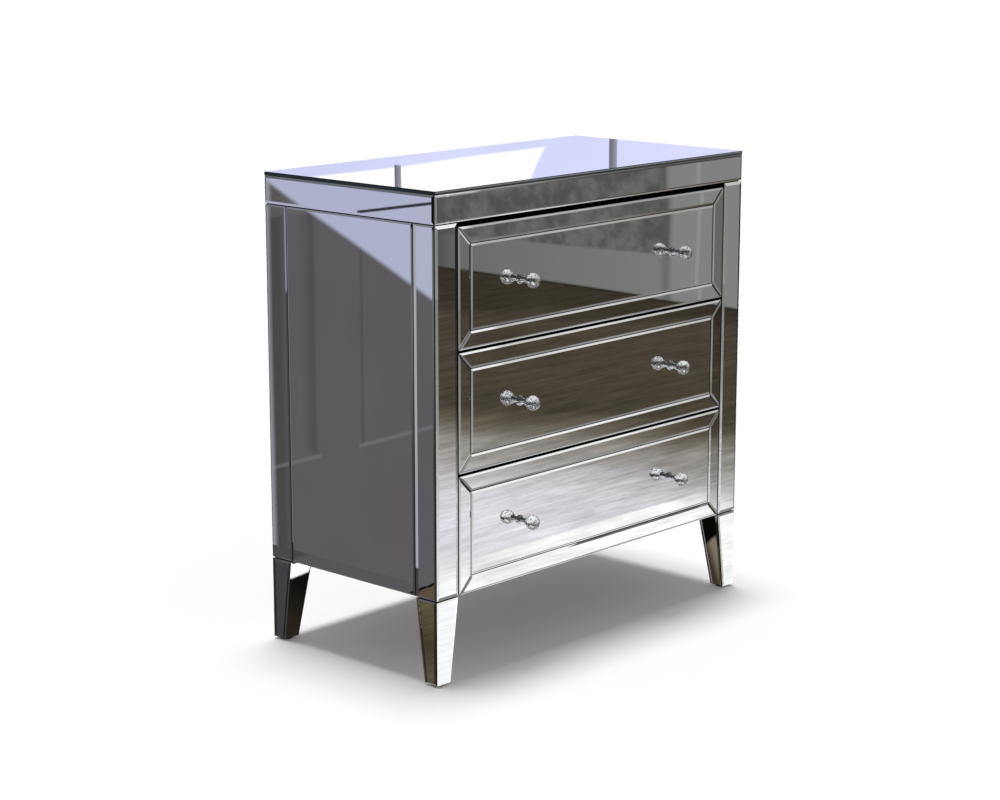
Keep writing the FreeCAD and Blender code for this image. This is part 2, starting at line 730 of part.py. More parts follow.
def make_drawer_front(prefix, number):
    """Front board with a groove for the bottom, a centre mirror and four mitred border mirrors."""
    low = drawer_bottom(number)
    high = low + drawer_height
    board = box(
        (-drawer_half_width + DRAWER_BOARD_INSET, drawer_half_width - DRAWER_BOARD_INSET),
        (board_front_y, front_back_y),
        (low + DRAWER_BOARD_INSET, high - DRAWER_BOARD_INSET),
    )
    board = board.cut(make_box_bottom(number))
    parts[prefix + "front_board"] = drill_for_knobs(board, number)

    inset = BORDER_WIDTH + DRAWER_JOINT
    centre_outline = rectangle(
        (-drawer_half_width + inset, drawer_half_width - inset), (low + inset, high - inset)
    )
    centre = front_plate(centre_outline, DRAWER_BEVEL)
    parts[prefix + "centre_mirror"] = drill_for_knobs(centre, number)

    back_off = MITRE_JOINT / math.sqrt(2)
    left = -drawer_half_width
    right = drawer_half_width
    lower = [
        (left + back_off, low),
        (right - back_off, low),
        (right - back_off - BORDER_WIDTH, low + BORDER_WIDTH),
        (left + back_off + BORDER_WIDTH, low + BORDER_WIDTH),
    ]
    upper = [(-x, low + high - z) for x, z in lower]
    left_strip = [
        (left, low + back_off),
        (left + BORDER_WIDTH, low + back_off + BORDER_WIDTH),
        (left + BORDER_WIDTH, high - back_off - BORDER_WIDTH),
        (left, high - back_off),
    ]
    right_strip = [(-x, low + high - z) for x, z in left_strip]
    strips = [lower, right_strip, upper, left_strip]
    parts[prefix + "border_mirrors"] = [front_plate(strip, DRAWER_BEVEL) for strip in strips]


def make_box_bottom(number):
    """Thin bottom panel that slides in grooves in the sides and the front board."""
    low = drawer_bottom(number) + BOX_LIFT + BOX_BOTTOM_LIFT
    reach = box_inner_half_width + BOX_GROOVE_DEPTH
    return box(
        (-reach, reach), (front_back_y - BOX_GROOVE_DEPTH, box_back_y), (low, low + BOX_BOTTOM_THICKNESS)
    )


def make_drawer_box(prefix, number):
    """Two sides, a back that stands on the bottom, and the bottom."""
    low = drawer_bottom(number) + BOX_LIFT
    high = low + BOX_HEIGHT
    bottom = make_box_bottom(number)
    side = box((-box_half_width, -box_inner_half_width), (front_back_y, box_back_y), (low, high))
    side = side.cut(bottom)
    for y in runner_screw_places():
        start = FreeCAD.Vector(-box_half_width, y, runner_height(number))
        side = side.cut(cylinder(RUNNER_SCREW_RADIUS + THREAD_CLEARANCE, start, X_AXIS, RUNNER_SCREW_LENGTH))
    parts[prefix + "box_sides"] = [side, mirror_x(side)]
    parts[prefix + "box_back"] = box(
        (-box_inner_half_width, box_inner_half_width),
        (box_back_y - BOX_BACK_THICKNESS, box_back_y),
        (low + BOX_BOTTOM_LIFT + BOX_BOTTOM_THICKNESS, high),
    )
    parts[prefix + "box_bottom"] = bottom


def make_drawer_hardware(prefix, number):
    """Knobs, drawer members of the runners, ball cages and all the screws of one drawer."""
    places = knob_places(number)
    parts[prefix + "knob_bases"] = [make_knob_base(place) for place in places]
    parts[prefix + "knob_crystals"] = [make_crystal(place - Y_AXIS * KNOB_BASE_LENGTH) for place in places]
    middle = runner_height(number)
    member = make_drawer_member(middle)
    parts[prefix + "runners"] = [member, mirror_x(member)]
    screws = [make_knob_screw(place) for place in places]
    for y in runner_screw_places():
        surface = FreeCAD.Vector(-box_half_width - RUNNER_SHEET, y, middle)
        screw = make_runner_screw(surface, X_AXIS)
        screws += [screw, mirror_x(screw)]
    parts[prefix + "screws"] = screws
    cage = make_ball_cage(middle)
    parts[prefix + "ball_cages"] = cage + [mirror_x(piece) for piece in cage]


def make_drawers():
    """All drawers, numbered from the top."""
    for number in range(1, DRAWER_COUNT + 1):
        prefix = "drawer_%d_" % number
        make_drawer_front(prefix, number)
        make_drawer_box(prefix, number)
        make_drawer_hardware(prefix, number)


# ---------------------------------------------------------------- build and export
make_top_band()
make_case_boards()
make_case_mirrors()
make_legs()
make_case_runners()
make_drawers()

os.makedirs("parts", exist_ok=True)
for node, shape in parts.items():
    if isinstance(shape, list):
        shape = Part.makeCompound(shape)
    shape.exportStep("parts/" + node + ".step")
print("nodes:", len(parts))
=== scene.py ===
import math

import bmesh
import bpy
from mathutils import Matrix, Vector


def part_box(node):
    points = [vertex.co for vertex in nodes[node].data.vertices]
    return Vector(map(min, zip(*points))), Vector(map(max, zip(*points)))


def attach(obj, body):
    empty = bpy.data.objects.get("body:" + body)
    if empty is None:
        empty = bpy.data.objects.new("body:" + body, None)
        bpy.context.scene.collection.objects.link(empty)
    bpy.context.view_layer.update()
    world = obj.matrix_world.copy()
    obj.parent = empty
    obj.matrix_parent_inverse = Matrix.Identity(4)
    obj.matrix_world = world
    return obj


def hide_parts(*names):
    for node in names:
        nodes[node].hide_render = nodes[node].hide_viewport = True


bl_info = {
    "name": "Mirrored Chest of Drawers",
    "version": (1, 0, 0),
    "blender": (4, 5, 0),
    "location": "View3D > Sidebar > Chest",
    "description": "Finishes for a mirrored chest of drawers, its cut crystal knobs and a plain studio",
    "category": "Object",
}

# The fixed model: metres, X to the right, Y to the back, Z up, floor at 0.
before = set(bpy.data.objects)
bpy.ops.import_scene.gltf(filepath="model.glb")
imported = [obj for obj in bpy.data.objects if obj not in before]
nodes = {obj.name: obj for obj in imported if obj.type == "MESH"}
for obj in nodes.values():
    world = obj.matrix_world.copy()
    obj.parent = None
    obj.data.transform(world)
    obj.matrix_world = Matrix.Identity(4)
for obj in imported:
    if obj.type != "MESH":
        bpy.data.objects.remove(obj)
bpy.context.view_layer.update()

DRAWERS = (1, 2, 3)
LEGS = ("front_left", "front_right", "back_left", "back_right")


def srgb(red, green, blue):
    """A colour given as 0-255 screen values, as the linear values that shaders take."""
    linear = []
    for level in (red, green, blue):
        level /= 255
        linear.append(level / 12.92 if level <= 0.04045 else ((level + 0.055) / 1.055) ** 2.4)
    return (*linear, 1.0)


def tinted(tint, factor, lift=0.0):
    """A colour made darker or lighter by a factor, and never more than full."""
    return [min(1.0, part * factor + lift) for part in tint[:3]] + [1.0]


def tone_stops(*rows):
    """Rows of (level, red, green, blue) as the stops of a ramp."""
    return [(level, srgb(*tone)) for level, *tone in rows]


# ---------------- settings
def colour(name, description, default):
    """A colour setting."""
    return bpy.props.FloatVectorProperty(
        name=name, description=description, default=default, subtype="COLOR", size=4, min=0.0, max=1.0
    )


def share(name, description, default):
    """A setting from 0 to 1."""
    return bpy.props.FloatProperty(
        name=name, description=description, default=default, min=0.0, max=1.0, subtype="FACTOR"
    )


def length(name, description, default):
    """A length in metres."""
    return bpy.props.FloatProperty(
        name=name, description=description, default=default, min=0.0, precision=5, unit="LENGTH"
    )


def angle(name, description, degrees):
    """An angle, given in degrees."""
    return bpy.props.FloatProperty(
        name=name, description=description, default=math.radians(degrees), subtype="ANGLE"
    )


class ChestMirrorSettings(bpy.types.PropertyGroup):
    """Silvered glass."""

    silver: colour("Silver", "Colour of the silvering seen through the glass", srgb(247, 249, 247))
    edge: colour("Glass edge", "Colour of the glass seen edge on", srgb(58, 66, 66))
    # Front edge, low bevels, low arris, arris width and right bevels set painted light and shade: they make
    # the glass's edge and bevels lighter or darker in colour.
    front_edge: colour("Front edge", "Colour of the top's front edge", srgb(222, 228, 232))
    low_bevel: share("Low bevels", "Brightness of bevels that face down", 0.24)
    low_arris: share("Low arris", "Brightness of the ground line under a low bevel", 0.62)
    arris_width: length("Arris width", "Width of the ground line under a low bevel", 0.0014)
    right_bevel: share("Right bevels", "Brightness of bevels that face right", 0.55)
    haze: share("Haze", "Roughness of clean glass", 0.012)
    smears: share("Smears", "Extra roughness where cloth marks remain", 0.035)
    ripple: length("Ripple", "Depth of the slow waves in a glued pane", 0.0012)
    top_ripple: length("Top ripple", "Depth of the slow waves in the flat top", 0.0003)


class ChestTimberSettings(bpy.types.PropertyGroup):
    """Boards, plywood and paint."""

    paint: colour("Case paint", "Satin black paint on the boards behind the glass", srgb(24, 24, 25))
    back: colour("Back panel", "Black face of the thin back panel", srgb(38, 37, 36))
    ply_light: colour("Birch light", "Light grain of the drawer boxes", srgb(214, 186, 146))
    ply_dark: colour("Birch dark", "Dark grain of the drawer boxes", srgb(177, 141, 98))
    batten_light: colour("Batten light", "Light grain of the runner battens", srgb(206, 172, 124))
    batten_dark: colour("Batten dark", "Dark grain of the runner battens", srgb(160, 116, 70))
    bottom_light: colour("Bottom light", "Light grain of the drawer bottoms", srgb(221, 198, 163))
    bottom_dark: colour("Bottom dark", "Dark grain of the drawer bottoms", srgb(190, 160, 121))
    sheen: share("Paint roughness", "Roughness of the satin paint", 0.42)


class ChestMetalSettings(bpy.types.PropertyGroup):
    """Chrome, zinc and steel."""

    chrome: colour("Chrome", "Polished chrome of the knob bases", srgb(206, 208, 212))
    zinc: colour("Zinc", "Zinc plate on the runners", srgb(186, 190, 194))
    screw: colour("Screw", "Plated steel of screws and bolts", srgb(160, 158, 150))
    bearing: colour("Bearing steel", "Ball cages and balls", srgb(205, 207, 210))


class ChestKnobSettings(bpy.types.PropertyGroup):
    """Cut crystal knobs on turned bases."""

    crystal: colour("Crystal", "Tint of the clear crystal", srgb(250, 252, 254))
    bend: bpy.props.FloatProperty(
        name="Refractive index", description="How strongly the crystal bends light", default=1.58, min=1.0
    )
    facets: bpy.props.IntProperty(name="Facets", description="Facets in one ring", default=12, min=6)
    rings: bpy.props.IntProperty(
        name="Rings", description="Rings of corners from face to seat", default=7, min=4
    )
    facet_rim: length("Facet rim", "Width of the polished line between two facets", 0.0002)
    lip: length("Lip", "Roundness of the edges of the turned base", 0.0008)
    bead: length("Bead", "Radius of the ring turned on the neck", 0.0009)


class ChestGlideSettings(bpy.types.PropertyGroup):
    """Plastic feet."""

    plastic: colour("Plastic", "Black moulded glides", srgb(30, 30, 31))


class ChestStageSettings(bpy.types.PropertyGroup):
    """Floor, light and camera."""

    floor: colour("Floor", "Pale studio floor", srgb(253, 253, 253))
    floor_glow: share("Floor glow", "Light that the pale floor gives off by itself", 0.105)
    sky: share("Soft light", "Strength of the even light from all round", 0.27)
    lamp: bpy.props.FloatProperty(
        name="Overhead lamps",
        description="Strength of the two overhead lamps together",
        default=2.15,
        min=0.0,
    )
    lamp_spread: angle("Lamp spread", "Width of an overhead lamp as seen from the chest", 12.0)
    lens: bpy.props.FloatProperty(
        name="Lens", description="Focal length in millimetres", default=84.59, min=10.0
    )
    camera_place: bpy.props.FloatVectorProperty(
        name="Camera",
        description="Where the camera stands",
        default=(-3.0319, -2.7382, 1.2867),
        subtype="TRANSLATION",
        unit="LENGTH",
    )
    camera_turn: angle("Camera turn", "Turn of the camera to the right of straight ahead", 47.402)
    camera_dip: angle("Camera dip", "How far the camera looks down", 12.312)


class ChestSettings(bpy.types.PropertyGroup):
    """All the chest's settings, one group for each kind of piece."""

    mirror: bpy.props.PointerProperty(type=ChestMirrorSettings)
    timber: bpy.props.PointerProperty(type=ChestTimberSettings)
    metal: bpy.props.PointerProperty(type=ChestMetalSettings)
    knob: bpy.props.PointerProperty(type=ChestKnobSettings)
    glide: bpy.props.PointerProperty(type=ChestGlideSettings)
    stage: bpy.props.PointerProperty(type=ChestStageSettings)


# ---------------- node helpers
class Graph:
    """Adds nodes to one node tree and joins them."""

    def __init__(self, tree):
        self.tree = tree
        tree.nodes.clear()

    def add(self, kind, inputs=None, **choices):
        """A node; each input is a value, or a socket to join to it."""
        made = self.tree.nodes.new("ShaderNode" + kind)
        for name, value in choices.items():
            setattr(made, name, value)
        for name, value in (inputs or {}).items():
            if isinstance(value, bpy.types.NodeSocket):
                self.tree.links.new(value, made.inputs[name])
            else:
                made.inputs[name].default_value = value
        return made

    def math(self, operation, *values, clamp=False):
        """The result of a Math node."""
        return self.add("Math", dict(enumerate(values)), operation=operation, use_clamp=clamp).outputs[0]

    def absolute(self, value):
        """A value without its sign."""
        return self.math("ABSOLUTE", value)

    def both(self, first, second):
        """1 where both masks are 1."""
        return self.math("MULTIPLY", first, second)

    def sum(self, *terms):
        """The sum of (factor, value) pairs and plain numbers."""
        total = 0.0
        for term in terms:
            if isinstance(term, tuple):
                term = self.math("MULTIPLY", term[1], term[0])
            total = self.math("ADD", term, total)
        return total

    def fit(self, value, low, high, to_low=0.0, to_high=1.0, smooth=False):
        """A value moved from one range to another, and held inside it."""
        kind = "SMOOTHSTEP" if smooth else "LINEAR"
        inputs = {0: value, 1: low, 2: high, 3: to_low, 4: to_high}
        return self.add("MapRange", inputs, interpolation_type=kind).outputs[0]

    def spread(self, noise, low, high):
        """Noise, which keeps to the middle of its range, spread from one value to another."""
        return self.fit(noise, 0.3, 0.7, low, high)

    def over(self, value, level, soft=0.003):
        """1 where a value is over a level, with a soft edge."""
        return self.fit(value, level - soft, level + soft)

    def under(self, value, level, soft=0.003):
        """1 where a value is under a level, with a soft edge."""
        return self.fit(value, level + soft, level - soft)

    def between(self, value, low, high, soft=0.003):
        """1 where a value lies between two levels, with soft edges."""
        return self.both(self.over(value, low, soft), self.under(value, high, soft))

    def mix(self, factor, first, second):
        """A colour between two colours."""
        return self.add("Mix", {0: factor, 6: first, 7: second}, data_type="RGBA").outputs[2]

    def layers(self, tone, *rows):
        """A colour with (mask, colour) rows laid over it in turn."""
        for mask, tint in rows:
            tone = self.mix(mask, tone, tint)
        return tone

    def blend(self, factor, first, second):
        """A number between two numbers."""
        return self.add("Mix", {0: factor, 2: first, 3: second}, data_type="FLOAT").outputs[0]

    def scale(self, tint, factor):
        """A colour made brighter or darker by a factor."""
        return self.add("VectorMath", {0: tint, "Scale": factor}, operation="SCALE").outputs[0]

    def ramp(self, value, low, high, stops):
        """A colour read off a row of (level, colour) stops between two levels."""
        made = self.add("ValToRGB", {"Fac": self.fit(value, low, high)})
        elements = made.color_ramp.elements
        places = [(level - low) / (high - low) for level, _ in stops]
        elements[0].position, elements[0].color = places[0], stops[0][1]
        elements[1].position, elements[1].color = places[-1], stops[-1][1]
        for place, (_, shade) in list(zip(places, stops))[1:-1]:
            elements.new(place).color = shade
        return made.outputs[0]

    def place(self):
        """The point's own place on the piece, in metres."""
        return self.add("TexCoord").outputs["Object"]

    def axes(self, vector):
        """X, Y and Z of a vector."""
        return self.add("SeparateXYZ", {0: vector}).outputs

    def direction(self, *parts):
        """A vector made of its X, Y and Z."""
        return self.add("CombineXYZ", dict(enumerate(parts))).outputs[0]

    def stretch(self, vector, scale, turn=0.0):
        """A place turned about Z and scaled along each axis."""
        inputs = {"Vector": vector, "Scale": scale, "Rotation": (0.0, 0.0, turn)}
        return self.add("Mapping", inputs).outputs[0]

    def noise(self, vector, scale, detail=2.0, roughness=0.5, seed=0.0):
        """Smooth noise from 0 to 1."""
        inputs = {"Vector": vector, "W": seed, "Scale": scale, "Detail": detail, "Roughness": roughness}
        return self.add("TexNoise", inputs, noise_dimensions="4D").outputs["Fac"]

    def bump(self, height, distance, strength=1.0):
        """A normal that follows a height map."""
        return self.add("Bump", {"Height": height, "Distance": distance, "Strength": strength}).outputs[0]

    def lean(self, factor, first, second):
        """A normal turned from one direction to another."""
        turned = self.add("Mix", {0: factor, 4: first, 5: second}, data_type="VECTOR")
        return self.add("VectorMath", {0: turned.outputs[1]}, operation="NORMALIZE").outputs[0]

    def surface(self, shader):
        """Joins a shader to the output."""
        self.add("OutputMaterial", {"Surface": shader.outputs[0]})

    def principled(self, **inputs):
        """The Principled shader, joined to the output; underscores in names stand for spaces."""
        named = {name.replace("_", " "): value for name, value in inputs.items()}
        self.surface(self.add("BsdfPrincipled", named))


def new_material(name):
    """An empty node material and its graph."""
    material = bpy.data.materials.new(name)
    material.use_nodes = True
    return material, Graph(material.node_tree)


def dress(node, material):
    """Gives a fixed node one material in all its slots."""
    slots = nodes[node].data.materials
    slots.clear()
    slots.append(material)


# ---------------- mirror glass
# A facet that looks up or down by more than this is a bevel.
BEVEL_TILT = 0.08
# How the painted light on low bevels grows along X and along Z.
LOW_LIGHT_X = 1.13
LOW_LIGHT_Z = 1.78
# How much of the room's light the upper bevels of the side panes show; less than 1 is painted shade.
SIDE_TOP_BEVELS = {"top_band_side_mirrors": 0.3, "left_side_mirrors": 0.45}
# Painted light on the top bevel of the front band from left to right, as (place, brightness).
BAND_FADE = ((-0.395, 0.8), (-0.35, 0.72), (-0.22, 0.66), (-0.14, 0.52), (-0.08, 0.36), (0.4, 0.26))
# That bevel has half its painted brightness at the first of these depths below the band's top, and all at the
# second.
BAND_BEVEL_DEPTHS = (0.0028, 0.0012)
# The top's front edge, from its face down, in painted light and shade: a grey line, a pale line between these
# depths, then dark.
EDGE_LINE = (0.0013, 0.0030)
# A front leg's front pane lies within this depth behind the leg's face.
LEG_PANE_DEPTH = 0.0042


class Glass:
    """The panes of one node. facing is the axis that they look along, or LEG for cladding on four sides."""

    def __init__(self, node, facing, mirror):
        self.node = node
        self.facing = facing
        self.mirror = mirror
        self.material, self.g = new_material("mirror_" + node)
        # at_x, at_y and at_z say where a point is, and x, y and z which way the glass looks there.
        self.place = self.g.place()
        self.at_x, self.at_y, self.at_z = self.g.axes(self.place)
        self.x, self.y, self.z = self.g.axes(self.g.add("NewGeometry").outputs["True Normal"])
        self.faces_down = self.g.under(self.z, -BEVEL_TILT)
        self.faces_up = self.g.over(self.z, BEVEL_TILT)
        self.face = self.leg_face() if facing == "LEG" else self.flat_face()

    def flat_face(self):
        """1 on faces and bevels, 0 on the ground edges."""
        along = {"X": self.x, "Y": self.y, "Z": self.z}[self.facing]
        return self.g.over(self.g.absolute(along), 0.8)

    def leg_face(self):
        """1 on faces and bevels, 0 on the ends and on the side edges of the front legs' front panes."""
        g = self.g
        upright = g.under(g.absolute(self.z), 0.5)
        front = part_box("front_left_leg_mirrors")[0].y
        in_front = g.under(self.at_y, front + LEG_PANE_DEPTH, 0.0001)
        return g.math("SUBTRACT", upright, g.both(in_front, self.side_on()), clamp=True)

    def side_on(self):
        """1 where the glass looks left or right."""
        return self.g.over(self.g.absolute(self.x), 0.5)

    def left_edge(self):
        """1 on the left bevel of a leg's front pane."""
        return self.g.both(self.g.under(self.y, -0.5), self.g.under(self.x, -0.03, 0.01))

    def low_line(self, height, soft=0.0004):
        """1 on the low bevel, up to a height over the node's foot."""
        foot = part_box(self.node)[0].z
        return self.g.both(self.faces_down, self.g.under(self.at_z, foot + height, soft))

    def depth(self):
        """How far a point lies below the top of the node."""
        return self.g.math("SUBTRACT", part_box(self.node)[1].z, self.at_z)

    def edge_line(self):
        """1 on the pale line along the edge of the top."""
        return self.g.between(self.depth(), *EDGE_LINE, 0.0002)

    def top_edge(self):
        """Colour of the edges of the top: dark, with fine lines of painted highlight and shade along the
        front.
        """
        g = self.g
        level = g.blend(self.edge_line(), 0.6, 0.42)
        level = g.blend(g.over(self.depth(), EDGE_LINE[1], 0.0002), level, 0.26)
        in_front = g.both(g.under(self.y, -0.1), g.under(g.absolute(self.x), 0.3))
        return g.mix(in_front, list(self.mirror.edge), g.scale(self.mirror.front_edge[:3], level))

    def leg_tone(self, pane):
        """Cladding of a leg: painted shade on the upright bevels of its side panes, for the dark parts of the
        room they face.
        """
        g = self.g
        for turned, level in ((g.under(self.y, -0.03, 0.01), 0.3), (g.over(self.y, 0.03, 0.01), 0.45)):
            pane = g.scale(pane, g.blend(g.both(self.side_on(), turned), 1.0, level))
        # Painted reflection: a pale tone on the left bevel of the front right leg's front pane.
        if self.node == "front_right_leg_mirrors":
            pane = g.mix(self.left_edge(), pane, srgb(188, 186, 174))
        return pane

    def side_tone(self, pane):
        """Panes of the sides: painted shade on the bevel at the joint to the rear strip, and on most upper
        bevels.
        """
        g = self.g
        level = g.blend(self.faces_up, 1.0, SIDE_TOP_BEVELS.get(self.node, 1.0))
        rear_joint = g.both(g.over(self.at_y, 0.1), g.under(self.y, -0.04, 0.01))
        return g.scale(pane, g.blend(rear_joint, level, 0.55))

    def front_tone(self, pane):
        """Panes of the front: painted shade makes each bevel show less of the room's light than the face."""
        g, mirror = self.g, self.mirror
        is_band = self.node == "top_band_front_mirror"
        is_border = "border" in self.node
        # Low bevels look at the floor and carry painted shade. The lower and further left they lie, the less
        # painted light they get.
        reach = g.sum((LOW_LIGHT_X, self.at_x), (LOW_LIGHT_Z, self.at_z))
        level = g.blend(self.faces_down, 1.0, g.fit(reach, 0.9, 1.6, mirror.low_bevel, 1.0))
        if is_band or is_border:
            arris = g.fit(reach, 0.9, 1.3, mirror.low_arris, 1.0)
            level = g.blend(self.low_line(mirror.arris_width), level, arris)
        # Painted shade on bevels that face right.
        level = g.blend(g.between(self.x, 0.08, 0.6), level, mirror.right_bevel)
        level = g.blend(self.faces_up, level, self.band_bevel() if is_band else 1.0)
        pane = g.scale(pane, level)
        if is_band:
            # A painted glint: a narrow bright upright strip near the band's left end.
            painted_glint = g.both(g.between(self.at_x, -0.375, -0.368, 0.0006), self.face)
            pane = g.scale(pane, g.blend(painted_glint, 1.0, 1.3))
        elif is_border:
            pane = self.right_strip(pane)
        elif self.node == "drawer_3_centre_mirror":
            # Painted highlight: a pale line along the low bevel of the lowest drawer's centre pane.
            pane = g.mix(self.low_line(0.0019, 0.0003), pane, srgb(225, 227, 228))
        return pane

    def band_bevel(self):
        """Painted light on the band's top bevel fades from left to right, and towards its lower edge."""
        g = self.g
        fade = g.ramp(self.at_x, -0.4, 0.4, [(at, (level, level, level, 1.0)) for at, level in BAND_FADE])
        return g.both(fade, g.fit(self.depth(), *BAND_BEVEL_DEPTHS, 0.5, 1.0))

    def right_strip(self, pane):
        """The right-hand strip of a border gets painted shade, darker and slightly redder, for the part of
        the room it faces.
        """
        g = self.g
        low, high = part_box(self.node.replace("border_mirrors", "centre_mirror"))
        rise = g.absolute(g.math("SUBTRACT", self.at_z, (low.z + high.z) / 2))
        mitre = g.math("MAXIMUM", 0.0, g.math("SUBTRACT", rise, (high.z - low.z) / 2))
        past = g.math("SUBTRACT", g.math("SUBTRACT", self.at_x, high.x), mitre)
        strip = g.both(g.over(past, 0.0006, 0.0002), g.under(g.absolute(self.x), 0.08, 0.01))
        shade = g.scale(pane, g.fit(self.at_z, 0.35, 0.6, 0.78, 0.62))
        return g.mix(strip, pane, g.mix(0.06, shade, srgb(150, 96, 96)))

    def leans(self):
        """Single bevels and edges as masks, each with the direction that it is turned to."""
        g = self.g
        if self.node == "back_left_leg_mirrors":
            return [(self.left_edge(), (0.0, -0.9914, -0.1305))]
        if self.node == "top_mirror":
            return [(g.both(self.edge_line(), g.under(self.y, -0.5)), (0.0, -1.0, 0.085))]
        if self.node == "top_band_front_mirror":
            # The band's low arris is rounded, so it looks further down than its bevel.
            return [(self.low_line(1.6 * self.mirror.arris_width), (0.0, -0.906, -0.423))]
        if self.node == "stile_mirrors":
            # The right stile's inner bevel looks back towards the lit left of the room.
            return [(g.both(g.under(self.x, -0.1), g.over(self.at_x, 0.2)), (-0.35, -0.937, 0.0))]
        if self.node == "drawer_3_centre_mirror":
            # Its low bevel is slight, or it would look under the chest.
            return [(self.faces_down, (0.0, -0.997, -0.07))]
        if self.facing != "X":
            return []
        outward = g.math("SIGN", self.x)
        if self.node == "top_band_side_mirrors":
            return [(self.faces_down, (outward, 0.0, 0.062))]
        # The wide rear bevel of a front strip is a little hollow, and twisted near its foot.
        upward = g.both(g.fit(self.at_z, 0.2, 0.295, 0.1, 0.0), g.over(self.at_z, 0.197, 0.001))
        hollow = (outward, 0.185, upward)
        return [(g.between(self.y, 0.1, 0.2, 0.005), hollow), (self.faces_down, (outward, 0.0, 0.13))]


def mirror_finish(node, facing, seed, mirror):
    """Silvered glass with dark ground edges, cloth marks and the slow waves of a glued pane; its bevels and
    edges carry painted light and shade.
    """
    glass = Glass(node, facing, mirror)
    g, place = glass.g, glass.place
    pane = g.mix(g.noise(place, 3.5, 2.0, 0.5, seed), tinted(mirror.silver, 0.965), list(mirror.silver))
    # Painted light and shade on bevels and edges, by the way the panes face.
    tones = {"LEG": glass.leg_tone, "X": glass.side_tone, "Y": glass.front_tone}
    if facing in tones:
        pane = tones[facing](pane)
    edge = glass.top_edge() if facing == "Z" else list(mirror.edge)
    wipes = g.noise(g.stretch(place, (9.0, 9.0, 2.5)), 4.0, 4.0, 0.65, seed + 5.0)
    smear = g.fit(wipes, 0.56, 0.80, 0.0, mirror.smears)
    wave = g.noise(place, 2.6, 0.0, 0.0, seed + 9.0)
    normal = g.bump(g.both(wave, glass.face), mirror.top_ripple if facing == "Z" else mirror.ripple)
    for mask, direction in glass.leans():
        normal = g.lean(mask, normal, g.direction(*direction))
    g.principled(
        Base_Color=g.mix(glass.face, edge, pane),
        Metallic=1.0,
        Roughness=g.math("ADD", smear, g.fit(glass.face, 0.0, 1.0, 0.22, mirror.haze)),
        Normal=normal,
    )
    return glass.material


# ---------------- other finishes
def paint_finish(name, base, rough, seed):
    """Sprayed satin paint on board: faint orange peel, slight wear in tone."""
    material, g = new_material(name)
    place = g.place()
    tone = g.noise(place, 7.0, 4.0, 0.6, seed)
    peel = g.noise(place, 620.0, 1.0, 0.5, seed + 3.0)
    dust = g.noise(place, 55.0, 5.0, 0.7, seed + 4.0)
    mottle = g.both(tone, g.spread(dust, 0.6, 1.2))
    g.principled(
        Base_Color=g.mix(mottle, tinted(base, 0.72), tinted(base, 1.45, 0.002)),
        Roughness=g.spread(dust, rough - 0.06, rough + 0.1),
        Normal=g.bump(peel, 0.00012),
        Specular_IOR_Level=0.45,
    )
    return material


def timber_finish(name, light, dark, along, seed, rough=0.48):
    """Sawn or sliced timber with its grain along one axis."""
    material, g = new_material(name)
    place = g.place()
    fine = [3.0 if axis == along else 90.0 for axis in "XYZ"]
    broad = [0.7 if axis == along else 9.0 for axis in "XYZ"]
    wander = g.noise(g.stretch(place, broad), 1.0, 3.0, 0.55, seed)
    rings = g.math("FRACT", g.math("MULTIPLY", wander, 9.0))
    rings = g.absolute(g.math("SUBTRACT", rings, 0.5))
    pores = g.noise(g.stretch(place, fine), 4.0, 3.0, 0.6, seed + 2.0)
    blend = g.math("ADD", g.math("MULTIPLY", rings, 1.1), g.spread(pores, -0.25, 0.45), clamp=True)
    cloud = g.noise(place, 2.2, 2.0, 0.5, seed + 6.0)
    g.principled(
        Base_Color=g.mix(g.spread(cloud, 0.0, 0.35), g.mix(blend, light, dark), dark),
        Roughness=g.spread(pores, rough, rough + 0.14),
        Normal=g.bump(pores, 0.00018, 0.7),
    )
    return material


def metal_finish(name, tint, rough, grain, seed):
    """Plated or polished metal; grain is the size of its marks in metres."""
    material, g = new_material(name)
    place = g.place()
    marks = g.noise(place, 1.0 / grain, 3.0, 0.6, seed)
    bloom = g.noise(place, 24.0, 2.0, 0.5, seed + 4.0)
    wear = g.math("MULTIPLY", marks, g.spread(bloom, 0.5, 1.4), clamp=True)
    g.principled(
        Base_Color=g.mix(wear, tinted(tint, 0.8), list(tint)),
        Metallic=1.0,
        Roughness=g.spread(marks, rough * 0.7, rough * 1.4),
        Normal=g.bump(marks, grain * 0.03, 0.6),
    )
    return material


def plastic_finish(name, tint, seed):
    """Moulded plastic with a fine spark-eroded grain."""
    material, g = new_material(name)
    place = g.place()
    grain = g.noise(place, 1800.0, 2.0, 0.6, seed)
    tone = g.noise(place, 60.0, 2.0, 0.5, seed + 1.0)
    g.principled(
        Base_Color=g.mix(tone, list(tint), tinted(tint, 1.5, 0.004)),
        Roughness=g.spread(grain, 0.42, 0.6),
        Normal=g.bump(grain, 0.00006),
    )
    return material


def crystal_finish(name, tint, bend, seed):
    """Clear cut crystal; one facet in six or so is painted dark, as if it looked away from the light."""
    material, g = new_material(name)
    cords = g.noise(g.place(), 90.0, 2.0, 0.5, seed)
    flat = g.add("NewGeometry").outputs["True Normal"]
    chance = g.add("TexWhiteNoise", {"Vector": flat}, noise_dimensions="3D").outputs["Value"]
    # Painted shade: facets picked at random by their direction are made dark.
    clear = g.math("ADD", g.math("MULTIPLY", cords, 0.1), g.fit(chance, 0.14, 0.2, 0.0, 0.95))
    g.principled(
        Base_Color=g.mix(clear, tinted(tint, 0.12), list(tint)),
        Roughness=g.spread(cords, 0.0, 0.012),
        IOR=bend,
        Transmission_Weight=1.0,
    )
    return material


